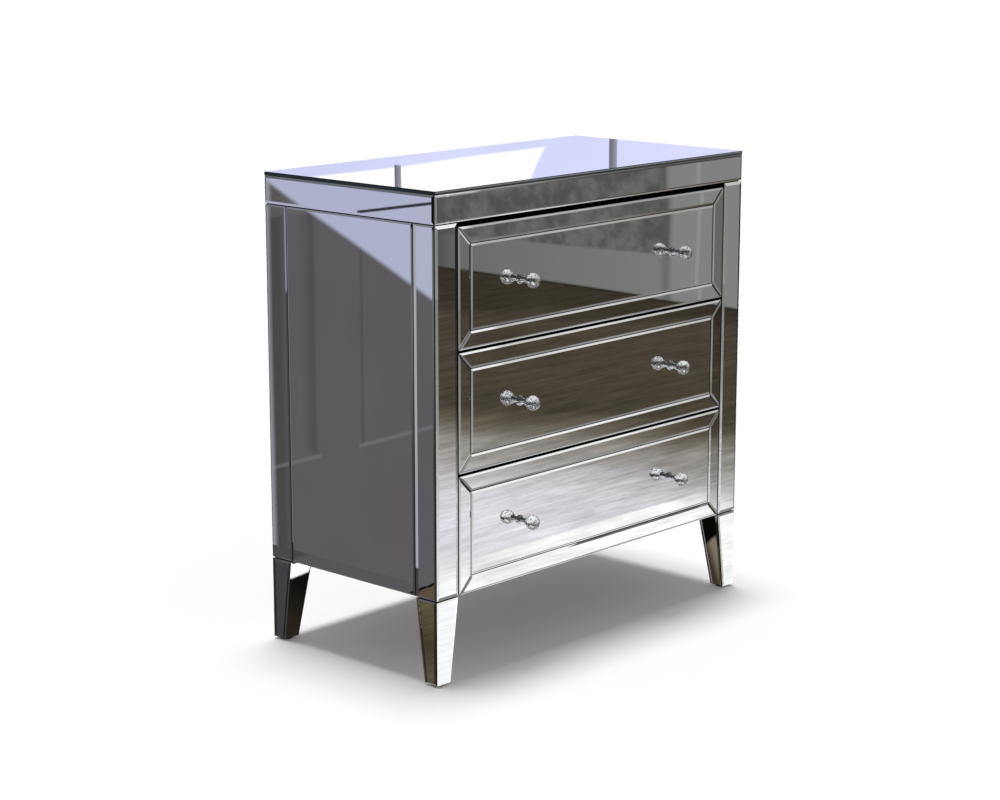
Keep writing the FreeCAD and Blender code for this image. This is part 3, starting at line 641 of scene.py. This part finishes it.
# ---------------- operators that dress the fixed nodes
class CHEST_OT_mirrors(bpy.types.Operator):
    """Silver every pane of glass, with dark edges and slow ripples"""

    bl_idname = "chest.mirrors"
    bl_label = "Mirror glass"

    def execute(self, context):
        mirror = context.scene.mirrored_chest.mirror
        facings = {"top_mirror": "Z", "left_side_mirrors": "X", "right_side_mirrors": "X"}
        facings.update({"top_band_front_mirror": "Y", "top_band_side_mirrors": "X", "stile_mirrors": "Y"})
        for number in DRAWERS:
            facings[f"drawer_{number}_centre_mirror"] = "Y"
            facings[f"drawer_{number}_border_mirrors"] = "Y"
        for leg in LEGS:
            facings[leg + "_leg_mirrors"] = "LEG"
        for count, (node, facing) in enumerate(facings.items()):
            dress(node, mirror_finish(node, facing, count * 3.7, mirror))
        return {"FINISHED"}


class CHEST_OT_case_boards(bpy.types.Operator):
    """Paint the case boards, the posts and the leg cores satin black"""

    bl_idname = "chest.case_boards"
    bl_label = "Painted case boards"

    def execute(self, context):
        timber = context.scene.mirrored_chest.timber
        paint = paint_finish("satin_black_paint", timber.paint, timber.sheen, 1.0)
        boards = "top_board top_rails left_side_board right_side_board stile_posts bottom_board divider_rails"
        for node in boards.split() + [leg + "_leg" for leg in LEGS]:
            dress(node, paint)
        dress("back_panel", paint_finish("back_panel_face", timber.back, 0.6, 12.0))
        return {"FINISHED"}


class CHEST_OT_drawer_boxes(bpy.types.Operator):
    """Give the drawer boxes and their bottoms birch grain, and the battens softwood grain"""

    bl_idname = "chest.drawer_boxes"
    bl_label = "Drawer boxes and battens"

    def execute(self, context):
        timber = context.scene.mirrored_chest.timber
        paint = paint_finish("drawer_front_paint", timber.paint, timber.sheen, 30.0)
        birch = (timber.ply_light, timber.ply_dark)
        thin_ply = (timber.bottom_light, timber.bottom_dark)
        parts = (
            ("box_sides", "birch_sides", birch, "Y"),
            ("box_back", "birch_back", birch, "X"),
            ("box_bottom", "thin_ply", thin_ply, "X"),
        )
        for number in DRAWERS:
            prefix = f"drawer_{number}_"
            dress(prefix + "front_board", paint)
            for count, (part, finish, tones, along) in enumerate(parts):
                seed = number * 11.0 + count * 3.0
                dress(prefix + part, timber_finish(prefix + finish, *tones, along, seed))
        softwood = timber_finish("softwood", timber.batten_light, timber.batten_dark, "Y", 80.0, 0.6)
        dress("runner_battens", softwood)
        return {"FINISHED"}


class CHEST_OT_runners(bpy.types.Operator):
    """Plate the runners with zinc, and give the ball cages bright steel"""

    bl_idname = "chest.runners"
    bl_label = "Runners and ball cages"

    def execute(self, context):
        metal = context.scene.mirrored_chest.metal
        zinc = metal_finish("zinc_plate", metal.zinc, 0.3, 0.004, 5.0)
        bearing = metal_finish("bearing_steel", metal.bearing, 0.16, 0.001, 15.0)
        dress("case_runners", zinc)
        for number in DRAWERS:
            dress(f"drawer_{number}_runners", zinc)
            dress(f"drawer_{number}_ball_cages", bearing)
        return {"FINISHED"}


class CHEST_OT_fasteners(bpy.types.Operator):
    """Give the screws and bolts plated steel"""

    bl_idname = "chest.fasteners"
    bl_label = "Screws and bolts"

    def execute(self, context):
        metal = context.scene.mirrored_chest.metal
        steel = metal_finish("plated_screw_steel", metal.screw, 0.28, 0.0012, 25.0)
        for node in ["case_runner_screws", "leg_bolts"] + [f"drawer_{n}_screws" for n in DRAWERS]:
            dress(node, steel)
        return {"FINISHED"}


class CHEST_OT_glides(bpy.types.Operator):
    """Give the foot glides moulded black plastic"""

    bl_idname = "chest.glides"
    bl_label = "Foot glides"

    def execute(self, context):
        glide = context.scene.mirrored_chest.glide
        dress("foot_glides", plastic_finish("moulded_plastic", glide.plastic, 41.0))
        return {"FINISHED"}


# ---------------- knobs
# Radii of the base's neck and cup, and where its parts lie along its axis.
NECK_RADIUS = 0.0045
CUP_RADIUS = 0.0065
ROSE_THICKNESS = 0.002
BEAD_PLACE = 0.0028
CUP_DEPTH = 0.0024
SEAT_DEPTH = 0.0004
# The waist widens towards the cup in this many steps, slowly at first.
WAIST_STEPS = 8
WAIST_CURVE = 2.6
# Edges of the turned bases that bend by more than this many degrees stay sharp; the crystals are all sharp.
BASE_SHARP = 40


def round_corner(middle, radius, start, end, steps=5):
    """Points of a rounded corner in a turning profile; angles are in degrees from straight outwards."""
    points = []
    for k in range(steps + 1):
        turn = math.radians(start + (end - start) * k / steps)
        points.append((middle[0] + radius * math.cos(turn), middle[1] + radius * math.sin(turn)))
    return points


def base_profile(rose, reach, knob):
    """Profile of a knob's base as (radius, reach) points: rose, beaded neck, and a cup with a sunk seat."""
    lip, bead = knob.lip, knob.bead
    cup_foot = reach - CUP_DEPTH
    cup_rim = CUP_RADIUS - 2 * lip
    bead_reach = ROSE_THICKNESS + BEAD_PLACE
    waist_foot = bead_reach + 1.6 * bead
    points = [(0.0, 0.0), (rose, 0.0)]
    points += round_corner((rose - lip, ROSE_THICKNESS - lip), lip, 0, 90)
    points += round_corner((rose - 2.6 * lip, ROSE_THICKNESS + lip), lip, 270, 180)
    points += round_corner((NECK_RADIUS + 0.4 * bead, bead_reach), bead, -70, 70, 8)
    for k in range(WAIST_STEPS + 1):
        rise = k / WAIST_STEPS
        waist = NECK_RADIUS + (cup_rim - NECK_RADIUS) * rise**WAIST_CURVE
        points.append((waist, waist_foot + (cup_foot - waist_foot) * rise))
    points += round_corner((CUP_RADIUS - lip, cup_foot + lip), lip, -70, 0)
    points += round_corner((CUP_RADIUS - lip, reach - lip), lip, 0, 90)
    return points + [(cup_rim, reach), (cup_rim, reach - SEAT_DEPTH), (0.0, reach - SEAT_DEPTH)]


def turn_piece(mesh, foot, profile, sides=48):
    """Adds a piece turned about the line from foot along -Y; its profile starts and ends on that line."""
    rings = []
    for radius, reach in profile:
        centre = foot + Vector((0.0, -reach, 0.0))
        if radius == 0.0:
            rings.append([mesh.verts.new(centre)])
            continue
        ring = []
        for i in range(sides):
            turn = 2 * math.pi * i / sides
            ring.append(mesh.verts.new(centre + Vector((math.cos(turn), 0.0, math.sin(turn))) * radius))
        rings.append(ring)
    for near, far in zip(rings, rings[1:]):
        for i in range(sides):
            j = (i + 1) % sides
            corners = [near[i % len(near)], near[j % len(near)], far[j % len(far)], far[i % len(far)]]
            mesh.faces.new(list(dict.fromkeys(corners)))


def cut_ball(mesh, middle, radius, half_reach, knob):
    """Adds a faceted ball with a flat table at each end of its Y axis."""
    first = math.acos(half_reach / radius)
    hoops = []
    for k in range(knob.rings):
        polar = first + (math.pi - 2 * first) * k / (knob.rings - 1)
        aside = math.sin(polar)
        hoop = []
        for i in range(knob.facets):
            turn = 2 * math.pi * (i + (k % 2) / 2) / knob.facets
            out = Vector((math.cos(turn) * aside, -math.cos(polar), math.sin(turn) * aside))
            hoop.append(mesh.verts.new(middle + out * radius))
        hoops.append(hoop)
    mesh.faces.new(hoops[0])
    mesh.faces.new(hoops[-1])
    for k, (near, far) in enumerate(zip(hoops, hoops[1:])):
        for i in range(knob.facets):
            after = (i + 1) % knob.facets
            shift = i if k % 2 == 0 else after
            mesh.faces.new([near[i], near[after], far[shift]])
            shift_before = (shift - 1) % knob.facets if k % 2 == 0 else i
            mesh.faces.new([near[i], far[shift], far[shift_before]])


def finish_piece(name, mesh, material, body, node, sharp_degrees=0):
    """Turns built geometry into a piece that rides on a drawer and stands for a fixed node."""
    bmesh.ops.recalc_face_normals(mesh, faces=mesh.faces)
    for face in mesh.faces:
        face.smooth = sharp_degrees > 0
    for edge in mesh.edges:
        edge.smooth = edge.calc_face_angle(math.pi) < math.radians(sharp_degrees)
    data = bpy.data.meshes.new(name)
    mesh.to_mesh(data)
    mesh.free()
    data.materials.append(material)
    piece = bpy.data.objects.new(name, data)
    bpy.context.scene.collection.objects.link(piece)
    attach(piece, body)
    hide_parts(node)


class CHEST_OT_knobs(bpy.types.Operator):
    """Cut the crystal balls and turn their chrome bases"""

    bl_idname = "chest.knobs"
    bl_label = "Crystal knobs"

    def execute(self, context):
        settings = context.scene.mirrored_chest
        knob = settings.knob
        crystal = crystal_finish("cut_crystal", knob.crystal, knob.bend, 51.0)
        chrome = metal_finish("polished_chrome", settings.metal.chrome, 0.05, 0.002, 61.0)
        for number in DRAWERS:
            body = f"drawer_{number}"
            base_node, ball_node = body + "_knob_bases", body + "_knob_crystals"
            base_low, base_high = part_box(base_node)
            ball_low, ball_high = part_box(ball_node)
            # Each box holds two knobs. Both pairs stand equally far apart, which gives the balls' radius.
            rose = (base_high.z - base_low.z) / 2
            ball = (ball_high.x - ball_low.x) / 2 - (base_high.x - base_low.x) / 2 + rose
            height = (base_low.z + base_high.z) / 2
            balls, bases = bmesh.new(), bmesh.new()
            for x in (base_low.x + rose, base_high.x - rose):
                foot = Vector((x, base_high.y, height))
                turn_piece(bases, foot, base_profile(rose, base_high.y - base_low.y, knob))
                middle = Vector((x, (ball_low.y + ball_high.y) / 2, height))
                cut_ball(balls, middle, ball, (ball_high.y - ball_low.y) / 2, knob)
            bmesh.ops.bevel(balls, geom=balls.edges[:], offset=knob.facet_rim, segments=1, affect="EDGES")
            name = body + "_turned_bases"
            finish_piece(name, bases, chrome, body, base_node, BASE_SHARP)
            finish_piece(body + "_cut_crystals", balls, crystal, body, ball_node)
        return {"FINISHED"}


# ---------------- studio
# The room that shows in the glass: places of its sheets in metres, and of the dark floor under the chest.
ROOM_WALL_X = 2.75
SIDE_PANEL_X = -0.80
SIDE_CORNER_X = -0.405
WINDOW_X = 3.0
FAR_LEFT_X = -3.6
FRONT_WALL_Y = -3.6
ROOM_WALL_END_Y = 0.9
SIDE_PANEL_Y = (-0.35, 1.25)
WINDOW_START_Y = 1.0
ROOM_END_Y = 5.0
LOW_WALL_TOP = 0.7
SIDE_PANEL_TOP = 1.1
WINDOW_Z = (0.9, 1.7)
CEILING_Z = 2.6
PLANKS_Z = 0.0006
UNDER_CHEST_X = (-0.41, 0.41)
UNDER_CHEST_Y = (-0.175, 0.24)
STUDIO_REACH = 40.0
# How far each lamp's light drifts along X, and that of both along Y, for each metre that it falls.
LAMP_DRIFTS_X = (("left_lamp", 0.03), ("right_lamp", -0.11))
LAMP_DRIFT_Y = -0.085
# Makes up for what the silvering takes, so that a sheet shows in the glass as its colour is written.
SILVER_GAIN = 1.0 / 0.93

# The planks darken along this direction, which runs to the right and front: painted light, bright by the
# chest and falling off away from it.
PLANK_FALL_X = 0.891
PLANK_FALL_Y = -0.454
# Seams crossed in each metre along X and along Y.
SEAMS_X = 5.2
SEAMS_Y = -10.4
# Tones of the planks in painted light, by how far they lie along that direction.
PLANK_TONES = tone_stops(
    (0.25, 255, 254, 255), (0.45, 220, 217, 223), (0.70, 224, 221, 229), (1.05, 208, 204, 209),
    (1.20, 185, 181, 183), (1.32, 158, 154, 151), (1.48, 142, 138, 133), (1.58, 116, 110, 100),
    (1.68, 96, 89, 77), (1.82, 72, 66, 54), (2.30, 74, 67, 56), (3.00, 72, 65, 55), (3.25, 57, 52, 41),
)
# Tones of the floor at the left, from the front wall to the chest, growing brighter towards it in painted
# light.
LEFT_TONES = tone_stops(
    (-3.4, 126, 128, 122), (-2.0, 150, 150, 146), (-1.2, 205, 204, 206), (-0.75, 228, 228, 232),
    (-0.5, 252, 252, 255),
)
# Tones of the floor from the side panel to the chest.
BESIDE_TONES = tone_stops((-0.8, 92, 78, 62), (-0.7, 90, 81, 62), (-0.55, 68, 61, 46), (-0.44, 87, 80, 65))
# Tones of the upper wall, from its foot up.
UPPER_TONES = tone_stops(
    (0.8, 243, 243, 242), (1.12, 240, 240, 239), (1.3, 224, 224, 223), (1.5, 198, 198, 197),
    (1.65, 180, 180, 179), (1.9, 172, 172, 171),
)
# Dark line along the foot of the side panel, on the panel and on the floor.
FOOT_LINE = srgb(18, 15, 12)
# Posts of the window, as (place along Y, height of the foot).
WINDOW_POSTS = ((3.313, 1.3375), (2.295, 0.0))


def plate(name, corners, material, glass_only=True):
    """A flat stage sheet with the given corners; a glass_only sheet shows in glass and metal alone."""
    mesh = bpy.data.meshes.new(name)
    mesh.from_pydata([Vector(c) for c in corners], [], [tuple(range(len(corners)))])
    mesh.update()
    mesh.materials.append(material)
    sheet = bpy.data.objects.new(name, mesh)
    bpy.context.scene.collection.objects.link(sheet)
    if glass_only:
        for ray in ("camera", "diffuse", "shadow", "volume_scatter"):
            setattr(sheet, "visible_" + ray, False)


def lay_sheet(name, along_x, along_y, height, material, glass_only=True):
    """A stage sheet that lies level between two places along X and two along Y."""
    (left, right), (near, far) = along_x, along_y
    corners = [(left, near, height), (right, near, height), (right, far, height), (left, far, height)]
    plate(name, corners, material, glass_only)


def stand_sheet(name, start, end, heights, material):
    """A stage sheet that stands on a line between two floor places."""
    low, high = heights
    plate(name, [(*start, low), (*end, low), (*end, high), (*start, high)], material)


def glow(g, tint):
    """Joins a colour to the output as light, so that the glass shows it as it is written."""
    g.surface(g.add("Emission", {"Color": tint, "Strength": SILVER_GAIN}))


def plank_light(g, place, reach, fine):
    """The planks in front of the chest in painted light, with grain and thin seams, and a painted pool of
    light close to the chest.
    """
    x, y, _ = g.axes(place)
    patches = g.noise(g.stretch(place, (1.0, 3.0, 1.0)), 1.8, 2.0, 0.5, 9.0)
    light = g.ramp(g.math("ADD", reach, g.spread(patches, -0.06, 0.06)), 0.0, 3.4, PLANK_TONES)
    streaks = g.noise(g.stretch(place, (2.2, 14.0, 1.0), 0.35), 1.9, 7.0, 0.78, 3.0)
    knots = g.noise(g.stretch(place, (3.2, 8.0, 1.0), 0.5), 2.2, 5.0, 0.7, 14.0)
    grain = g.both(g.spread(streaks, 0.70, 1.30), g.spread(fine, 0.84, 1.16))
    grain = g.both(grain, g.fit(knots, 0.35, 0.65, 0.84, 1.12))
    grain = g.blend(g.fit(reach, 0.6, 1.3, 0.62, 1.0), 1.0, grain)
    across = g.math("FRACT", g.sum((SEAMS_X, x), (SEAMS_Y, y)))
    seams = g.under(g.absolute(g.math("SUBTRACT", across, 0.5)), 0.012, 0.01)
    seams = g.both(g.both(seams, g.fit(streaks, 0.42, 0.55)), g.fit(reach, 1.3, 0.8))
    grain = g.both(grain, g.blend(seams, 1.0, 0.84))
    # A painted pool of light on the planks close to the chest.
    light_pool = g.both(g.over(y, -0.655, 0.005), g.both(g.over(x, 0.2, 0.06), g.under(x, 0.87, 0.08)))
    light = g.mix(light_pool, light, srgb(250, 250, 252))
    # Painted light: the planks nearest the chest are made brighter.
    return g.scale(light, g.both(grain, g.fit(reach, 0.05, 0.35, 1.3, 1.0)))


def shade_under_chest(g, x, y, light):
    """Painted shade under the chest: the floor is brown at the right, and nearly black behind a slanting
    line.
    """
    below = g.both(g.between(x, *UNDER_CHEST_X), g.between(y, *UNDER_CHEST_Y))
    streak = g.both(g.under(g.sum((1.0, x), (1.0, y)), 0.19, 0.01), g.over(x, 0.21, 0.01))
    brown = g.mix(streak, srgb(62, 53, 42), srgb(126, 116, 100))
    gloom = g.mix(g.fit(x, -0.24, -0.36), srgb(16, 16, 15), srgb(40, 36, 28))
    gloom = g.mix(g.over(x, 0.1, 0.05), gloom, srgb(7, 6, 4))
    behind = g.over(g.sum((0.13, x), (1.0, y)), -0.0115, 0.004)
    return g.layers(light, (g.both(below, g.over(x, 0.1, 0.02)), brown), (g.both(below, behind), gloom))


def shade_beside_chest(g, x, y, fine):
    """Left of the chest the floor is brown in front of a slanting line, and grey in painted shade behind it.
    """
    slant = g.sum((0.15, x), (1.0, y))
    in_front = g.both(g.under(slant, 0.111, 0.002), g.under(g.sum((0.9, x), (1.0, y)), -0.41, 0.01))
    return g.layers(
        g.mix(g.fit(x, -0.725, -0.74), srgb(65, 63, 66), srgb(87, 85, 89)),
        (g.over(y, 0.56, 0.01), srgb(74, 72, 73)),
        (g.both(g.between(slant, 0.111, 0.122, 0.002), g.under(x, -0.7)), FOOT_LINE),
        (in_front, g.scale(g.ramp(x, SIDE_PANEL_X, -0.4, BESIDE_TONES), g.spread(fine, 0.8, 1.2))),
    )


def room_floor_finish():
    """Plank floor in painted light, bright beside the chest and dark further off, with painted shade under
    and left of the chest.
    """
    material, g = new_material("room_planks")
    place = g.place()
    x, y, _ = g.axes(place)
    reach = g.sum((PLANK_FALL_X, x), (PLANK_FALL_Y, y))
    fine = g.noise(g.stretch(place, (3.0, 60.0, 1.0), 0.35), 1.4, 3.0, 0.65, 6.0)
    light = plank_light(g, place, reach, fine)
    left_light = g.scale(g.ramp(y, FRONT_WALL_Y, 0.0, LEFT_TONES), g.spread(fine, 0.86, 1.06))
    light = g.mix(g.under(g.sum((1.0, x), (0.6, y), 0.3), 0.0, 0.05), light, left_light)
    light = shade_under_chest(g, x, y, light)
    glow(g, g.mix(g.under(x, -0.4), light, shade_beside_chest(g, x, y, fine)))
    return material


def room_wall_finish():
    """Grey wall with a lighter low part, a papered upper part and a pale door frame."""
    material, g = new_material("room_wall")
    place = g.place()
    _, y, z = g.axes(place)
    paper = g.noise(g.stretch(place, (1.0, 11.0, 11.0)), 1.6, 4.0, 0.6, 4.0)
    papered = g.mix(g.fit(paper, 0.40, 0.60), srgb(82, 82, 80), srgb(106, 106, 104))
    tone = g.layers(
        g.mix(g.fit(y, -3.1, -2.3), srgb(108, 108, 106), srgb(122, 122, 120)),
        (g.over(g.sum((1.0, z), (-0.03, y)), 0.2188, 0.004), papered),
        (g.over(y, -2.22, 0.005), srgb(129, 129, 129)),
        (g.both(g.between(y, -2.245, -2.21, 0.01), 0.5), srgb(86, 86, 84)),
        (g.both(g.between(y, -2.105, -2.09), 0.6), srgb(150, 150, 150)),
        (g.fit(y, -3.1, -3.25), srgb(80, 80, 78)),
        (g.fit(y, -1.75, -1.6), srgb(46, 50, 52)),
        (g.under(z, 0.008, 0.004), srgb(40, 37, 32)),
    )
    glow(g, tone)
    return material


def upper_wall_finish():
    """Upper wall: bright low down and towards the front wall, greyer above and towards the back."""
    material, g = new_material("upper_wall")
    _, y, z = g.axes(g.place())
    tone = g.ramp(z, LOW_WALL_TOP, CEILING_Z, UPPER_TONES)
    tone = g.mix(g.under(y, -2.9, 0.02), tone, srgb(240, 240, 239))
    glow(g, g.scale(tone, g.fit(y, -2.5, -2.1, 1.0, 0.62)))
    return material


def side_panel_finish():
    """Panelled door in painted shade, with painted patches of sky light, one above a slanting edge, and a
    painted shadow line along its moulding.
    """
    material, g = new_material("side_panel")
    place = g.place()
    _, y, z = g.axes(place)
    cloud = g.noise(place, 5.0, 2.0, 0.5, 2.0)
    groove = g.both(g.both(g.fit(y, 0.528, 0.536), g.fit(y, 0.575, 0.54)), g.over(z, 0.21, 0.008))
    stile = g.both(g.between(y, 0.402, 0.41), g.over(z, 0.25, 0.008))
    ledge = g.between(g.sum((1.0, z), (0.345, y)), 0.3846, 0.3906)
    ledge = g.math("SUBTRACT", ledge, g.between(y, 0.418, 0.522), clamp=True)
    rail = g.over(g.sum((1.0, z), (0.17, y)), 0.772)
    sky = g.fit(g.sum((1.0, z), (-0.4045, y)), 0.4556, 0.4696, smooth=True)
    # A painted shadow line along the moulding.
    moulding_shadow = g.between(g.sum((1.0, z), (0.172, y)), 0.7626, 0.7682, 0.001)
    foot = g.sum((1.0, z), (0.58, y))
    near_end = g.mix(g.fit(z, 0.3, 0.5), srgb(58, 62, 60), srgb(100, 104, 100))
    near_end = g.mix(g.over(z, 0.7), near_end, srgb(14, 13, 17))
    tone = g.layers(
        g.mix(g.spread(cloud, 0.0, 1.0), srgb(91, 88, 92), srgb(96, 92, 96)),
        (g.fit(y, 0.60, 0.63), srgb(74, 72, 73)),
        (g.both(groove, 0.55), srgb(70, 68, 70)),
        (g.both(stile, 0.6), srgb(76, 73, 76)),
        (g.both(ledge, 0.7), srgb(120, 116, 122)),
        (g.both(rail, 0.5), srgb(104, 100, 102)),
        (sky, srgb(174, 177, 203)),
        (g.both(moulding_shadow, g.between(y, 0.207, 0.41, 0.002)), srgb(56, 52, 62)),
        (g.over(z, 0.85, 0.02), srgb(176, 177, 192)),
        (g.between(y, 0.66, 0.88, 0.01), srgb(166, 165, 177)),
        (g.both(g.under(y, 0.24), g.under(foot, 0.1390, 0.001)), FOOT_LINE),
        (g.both(g.under(y, 0.24), g.under(foot, 0.1332, 0.001)), srgb(90, 80, 62)),
        (g.under(y, 0.19, 0.01), near_end),
    )
    glow(g, tone)
    return material


def window_finish():
    """Bright window with two posts, a lavender sill and a lavender curtain edge."""
    material, g = new_material("window_wall")
    place = g.place()
    _, y, z = g.axes(place)
    cloud = g.noise(place, 1.5, 2.0, 0.5, 6.0)
    lavender = g.mix(g.fit(cloud, 0.35, 0.65), srgb(203, 206, 241), srgb(216, 220, 253))
    sill = g.under(g.sum((1.0, z), (-0.171, y)), 0.7789, 0.004)
    curtain = g.under(g.sum((1.0, y), (-0.62, z)), 1.8384, 0.008)
    tone = g.mix(g.math("MAXIMUM", sill, curtain), (1.0, 1.0, 1.0, 1.0), lavender)
    for middle, foot in WINDOW_POSTS:
        aside = g.math("SUBTRACT", y, middle)
        post = g.both(g.between(aside, -0.017, 0.017, 0.002), g.over(z, foot))
        # Painted light and shade across each post: lighter on one side, darker on the other.
        shade = g.mix(g.fit(aside, -0.015, 0.015), srgb(150, 150, 165), srgb(104, 102, 114))
        tone = g.mix(post, tone, shade)
    glow(g, tone)
    return material


def cloudy_finish(name, dark, light, scale, seed):
    """Far wall or ceiling: a soft cloud of two tones."""
    material, g = new_material(name)
    glow(g, g.mix(g.fit(g.noise(g.place(), scale, 2.0, 0.5, seed), 0.38, 0.62), dark, light))
    return material


def lay_studio_floor(stage):
    """A wide pale floor that takes the chest's shadow."""
    material, g = new_material("studio_floor")
    grain = g.noise(g.place(), 1.4, 2.0, 0.5, 1.0)
    g.principled(
        Base_Color=g.mix(grain, tinted(stage.floor, 0.995), list(stage.floor)),
        Roughness=0.9,
        Specular_IOR_Level=0.0,
        Emission_Color=srgb(255, 245, 243),
        Emission_Strength=stage.floor_glow,
    )
    reach = (-STUDIO_REACH, STUDIO_REACH)
    lay_sheet("studio_floor", reach, reach, 0.0, material, glass_only=False)


def build_seen_room():
    """Glowing sheets that show only in glass and metal, with painted light and shade in their colours: plank
    floor, walls, panelled door, window and ceiling.
    """
    wall_x, front_y = ROOM_WALL_X, FRONT_WALL_Y
    panel_start, panel_end = SIDE_PANEL_Y
    low, high, panel_top = (0.0, LOW_WALL_TOP), (LOW_WALL_TOP, CEILING_Z), (0.0, SIDE_PANEL_TOP)
    lay_sheet("room_floor", (SIDE_PANEL_X, wall_x), (front_y, panel_end), PLANKS_Z, room_floor_finish())
    right = ((wall_x, front_y), (wall_x, ROOM_WALL_END_Y))
    stand_sheet("room_wall", *right, low, room_wall_finish())
    stand_sheet("upper_wall", *right, high, upper_wall_finish())
    grey = cloudy_finish("grey_wall", srgb(104, 106, 100), srgb(150, 150, 146), 0.9, 22.0)
    stand_sheet("front_wall", (FAR_LEFT_X, front_y), (wall_x, front_y), (0.0, CEILING_Z), grey)
    dark = cloudy_finish("dark_wall", srgb(46, 46, 50), srgb(92, 92, 96), 0.9, 23.0)
    stand_sheet("left_wall", (FAR_LEFT_X, front_y), (FAR_LEFT_X, ROOM_END_Y), (0.0, CEILING_Z), dark)
    corner = cloudy_finish("dark_corner", srgb(48, 46, 50), srgb(58, 56, 60), 2.0, 24.0)
    stand_sheet("side_corner", (SIDE_PANEL_X, panel_end), (SIDE_CORNER_X, panel_end), panel_top, corner)
    panel = ((SIDE_PANEL_X, panel_start), (SIDE_PANEL_X, panel_end))
    stand_sheet("side_panel", *panel, panel_top, side_panel_finish())
    window = ((WINDOW_X, WINDOW_START_Y), (WINDOW_X, ROOM_END_Y))
    stand_sheet("window_wall", *window, WINDOW_Z, window_finish())
    ceiling = cloudy_finish("ceiling", srgb(50, 50, 52), srgb(108, 108, 110), 0.7, 25.0)
    lay_sheet("room_ceiling", (FAR_LEFT_X, wall_x), (front_y, ROOM_END_Y), CEILING_Z, ceiling)


def hang_lights(scene, stage):
    """Even light from all round, white to the camera and to glass, and two overhead lamps."""
    world = bpy.data.worlds.new("soft_studio")
    world.use_nodes = True
    g = Graph(world.node_tree)
    path = g.add("LightPath").outputs
    seen = g.math("MAXIMUM", path["Is Camera Ray"], path["Is Glossy Ray"])
    seen = g.math("MAXIMUM", seen, path["Is Transmission Ray"])
    strength = g.fit(seen, 0.0, 1.0, stage.sky, 1.0)
    back = g.add("Background", {"Color": (1.0, 1.0, 1.0, 1.0), "Strength": strength})
    g.add("OutputWorld", {"Surface": back.outputs[0]})
    scene.world = world
    for name, drift in LAMP_DRIFTS_X:
        lamp = bpy.data.lights.new(name, "SUN")
        lamp.energy = stage.lamp / 2
        lamp.angle = stage.lamp_spread
        lamp_object = bpy.data.objects.new(name, lamp)
        shines = Vector((drift, LAMP_DRIFT_Y, -1.0))
        lamp_object.rotation_euler = shines.to_track_quat("-Z", "Y").to_euler()
        scene.collection.objects.link(lamp_object)


def set_camera(scene, stage):
    """A long lens that looks down on the front left corner."""
    camera = bpy.data.cameras.new("studio_camera")
    camera.sensor_width = 36.0
    camera.lens = stage.lens
    camera.clip_start, camera.clip_end = 0.05, 200.0
    camera_object = bpy.data.objects.new("studio_camera", camera)
    camera_object.location = stage.camera_place
    camera_object.rotation_euler = (math.pi / 2 - stage.camera_dip, 0.0, -stage.camera_turn)
    scene.collection.objects.link(camera_object)
    scene.camera = camera_object
    scene.view_settings.view_transform = "Standard"


class CHEST_OT_stage(bpy.types.Operator):
    """Set up the pale floor, the soft light, the room seen in the glass, and the camera"""

    bl_idname = "chest.stage"
    bl_label = "Studio"

    def execute(self, context):
        stage = context.scene.mirrored_chest.stage
        lay_studio_floor(stage)
        build_seen_room()
        hang_lights(context.scene, stage)
        set_camera(context.scene, stage)
        return {"FINISHED"}


# ---------------- panel and registration
STEPS = (
    CHEST_OT_mirrors,
    CHEST_OT_case_boards,
    CHEST_OT_drawer_boxes,
    CHEST_OT_runners,
    CHEST_OT_fasteners,
    CHEST_OT_glides,
    CHEST_OT_knobs,
    CHEST_OT_stage,
)
SETTING_GROUPS = (
    ChestMirrorSettings,
    ChestTimberSettings,
    ChestMetalSettings,
    ChestKnobSettings,
    ChestGlideSettings,
    ChestStageSettings,
    ChestSettings,
)


class CHEST_PT_panel(bpy.types.Panel):
    """Steps and settings of the chest"""

    bl_idname = "CHEST_PT_panel"
    bl_label = "Mirrored chest"
    bl_space_type = "VIEW_3D"
    bl_region_type = "UI"
    bl_category = "Chest"

    def draw(self, context):
        layout = self.layout
        for step in STEPS:
            layout.operator(step.bl_idname)
        settings = context.scene.mirrored_chest
        for name in ChestSettings.__annotations__:
            group = getattr(settings, name)
            box = layout.box()
            box.label(text=type(group).__doc__.rstrip("."))
            for field in type(group).__annotations__:
                box.prop(group, field)


CLASSES = (*SETTING_GROUPS, *STEPS, CHEST_PT_panel)


def register():
    for each in CLASSES:
        bpy.utils.register_class(each)
    bpy.types.Scene.mirrored_chest = bpy.props.PointerProperty(type=ChestSettings)


def unregister():
    del bpy.types.Scene.mirrored_chest
    for each in reversed(CLASSES):
        bpy.utils.unregister_class(each)


def main():
    register()
    for step in STEPS:
        family, name = step.bl_idname.split(".")
        getattr(getattr(bpy.ops, family), name)()


if __name__ == "__main__":
    main()
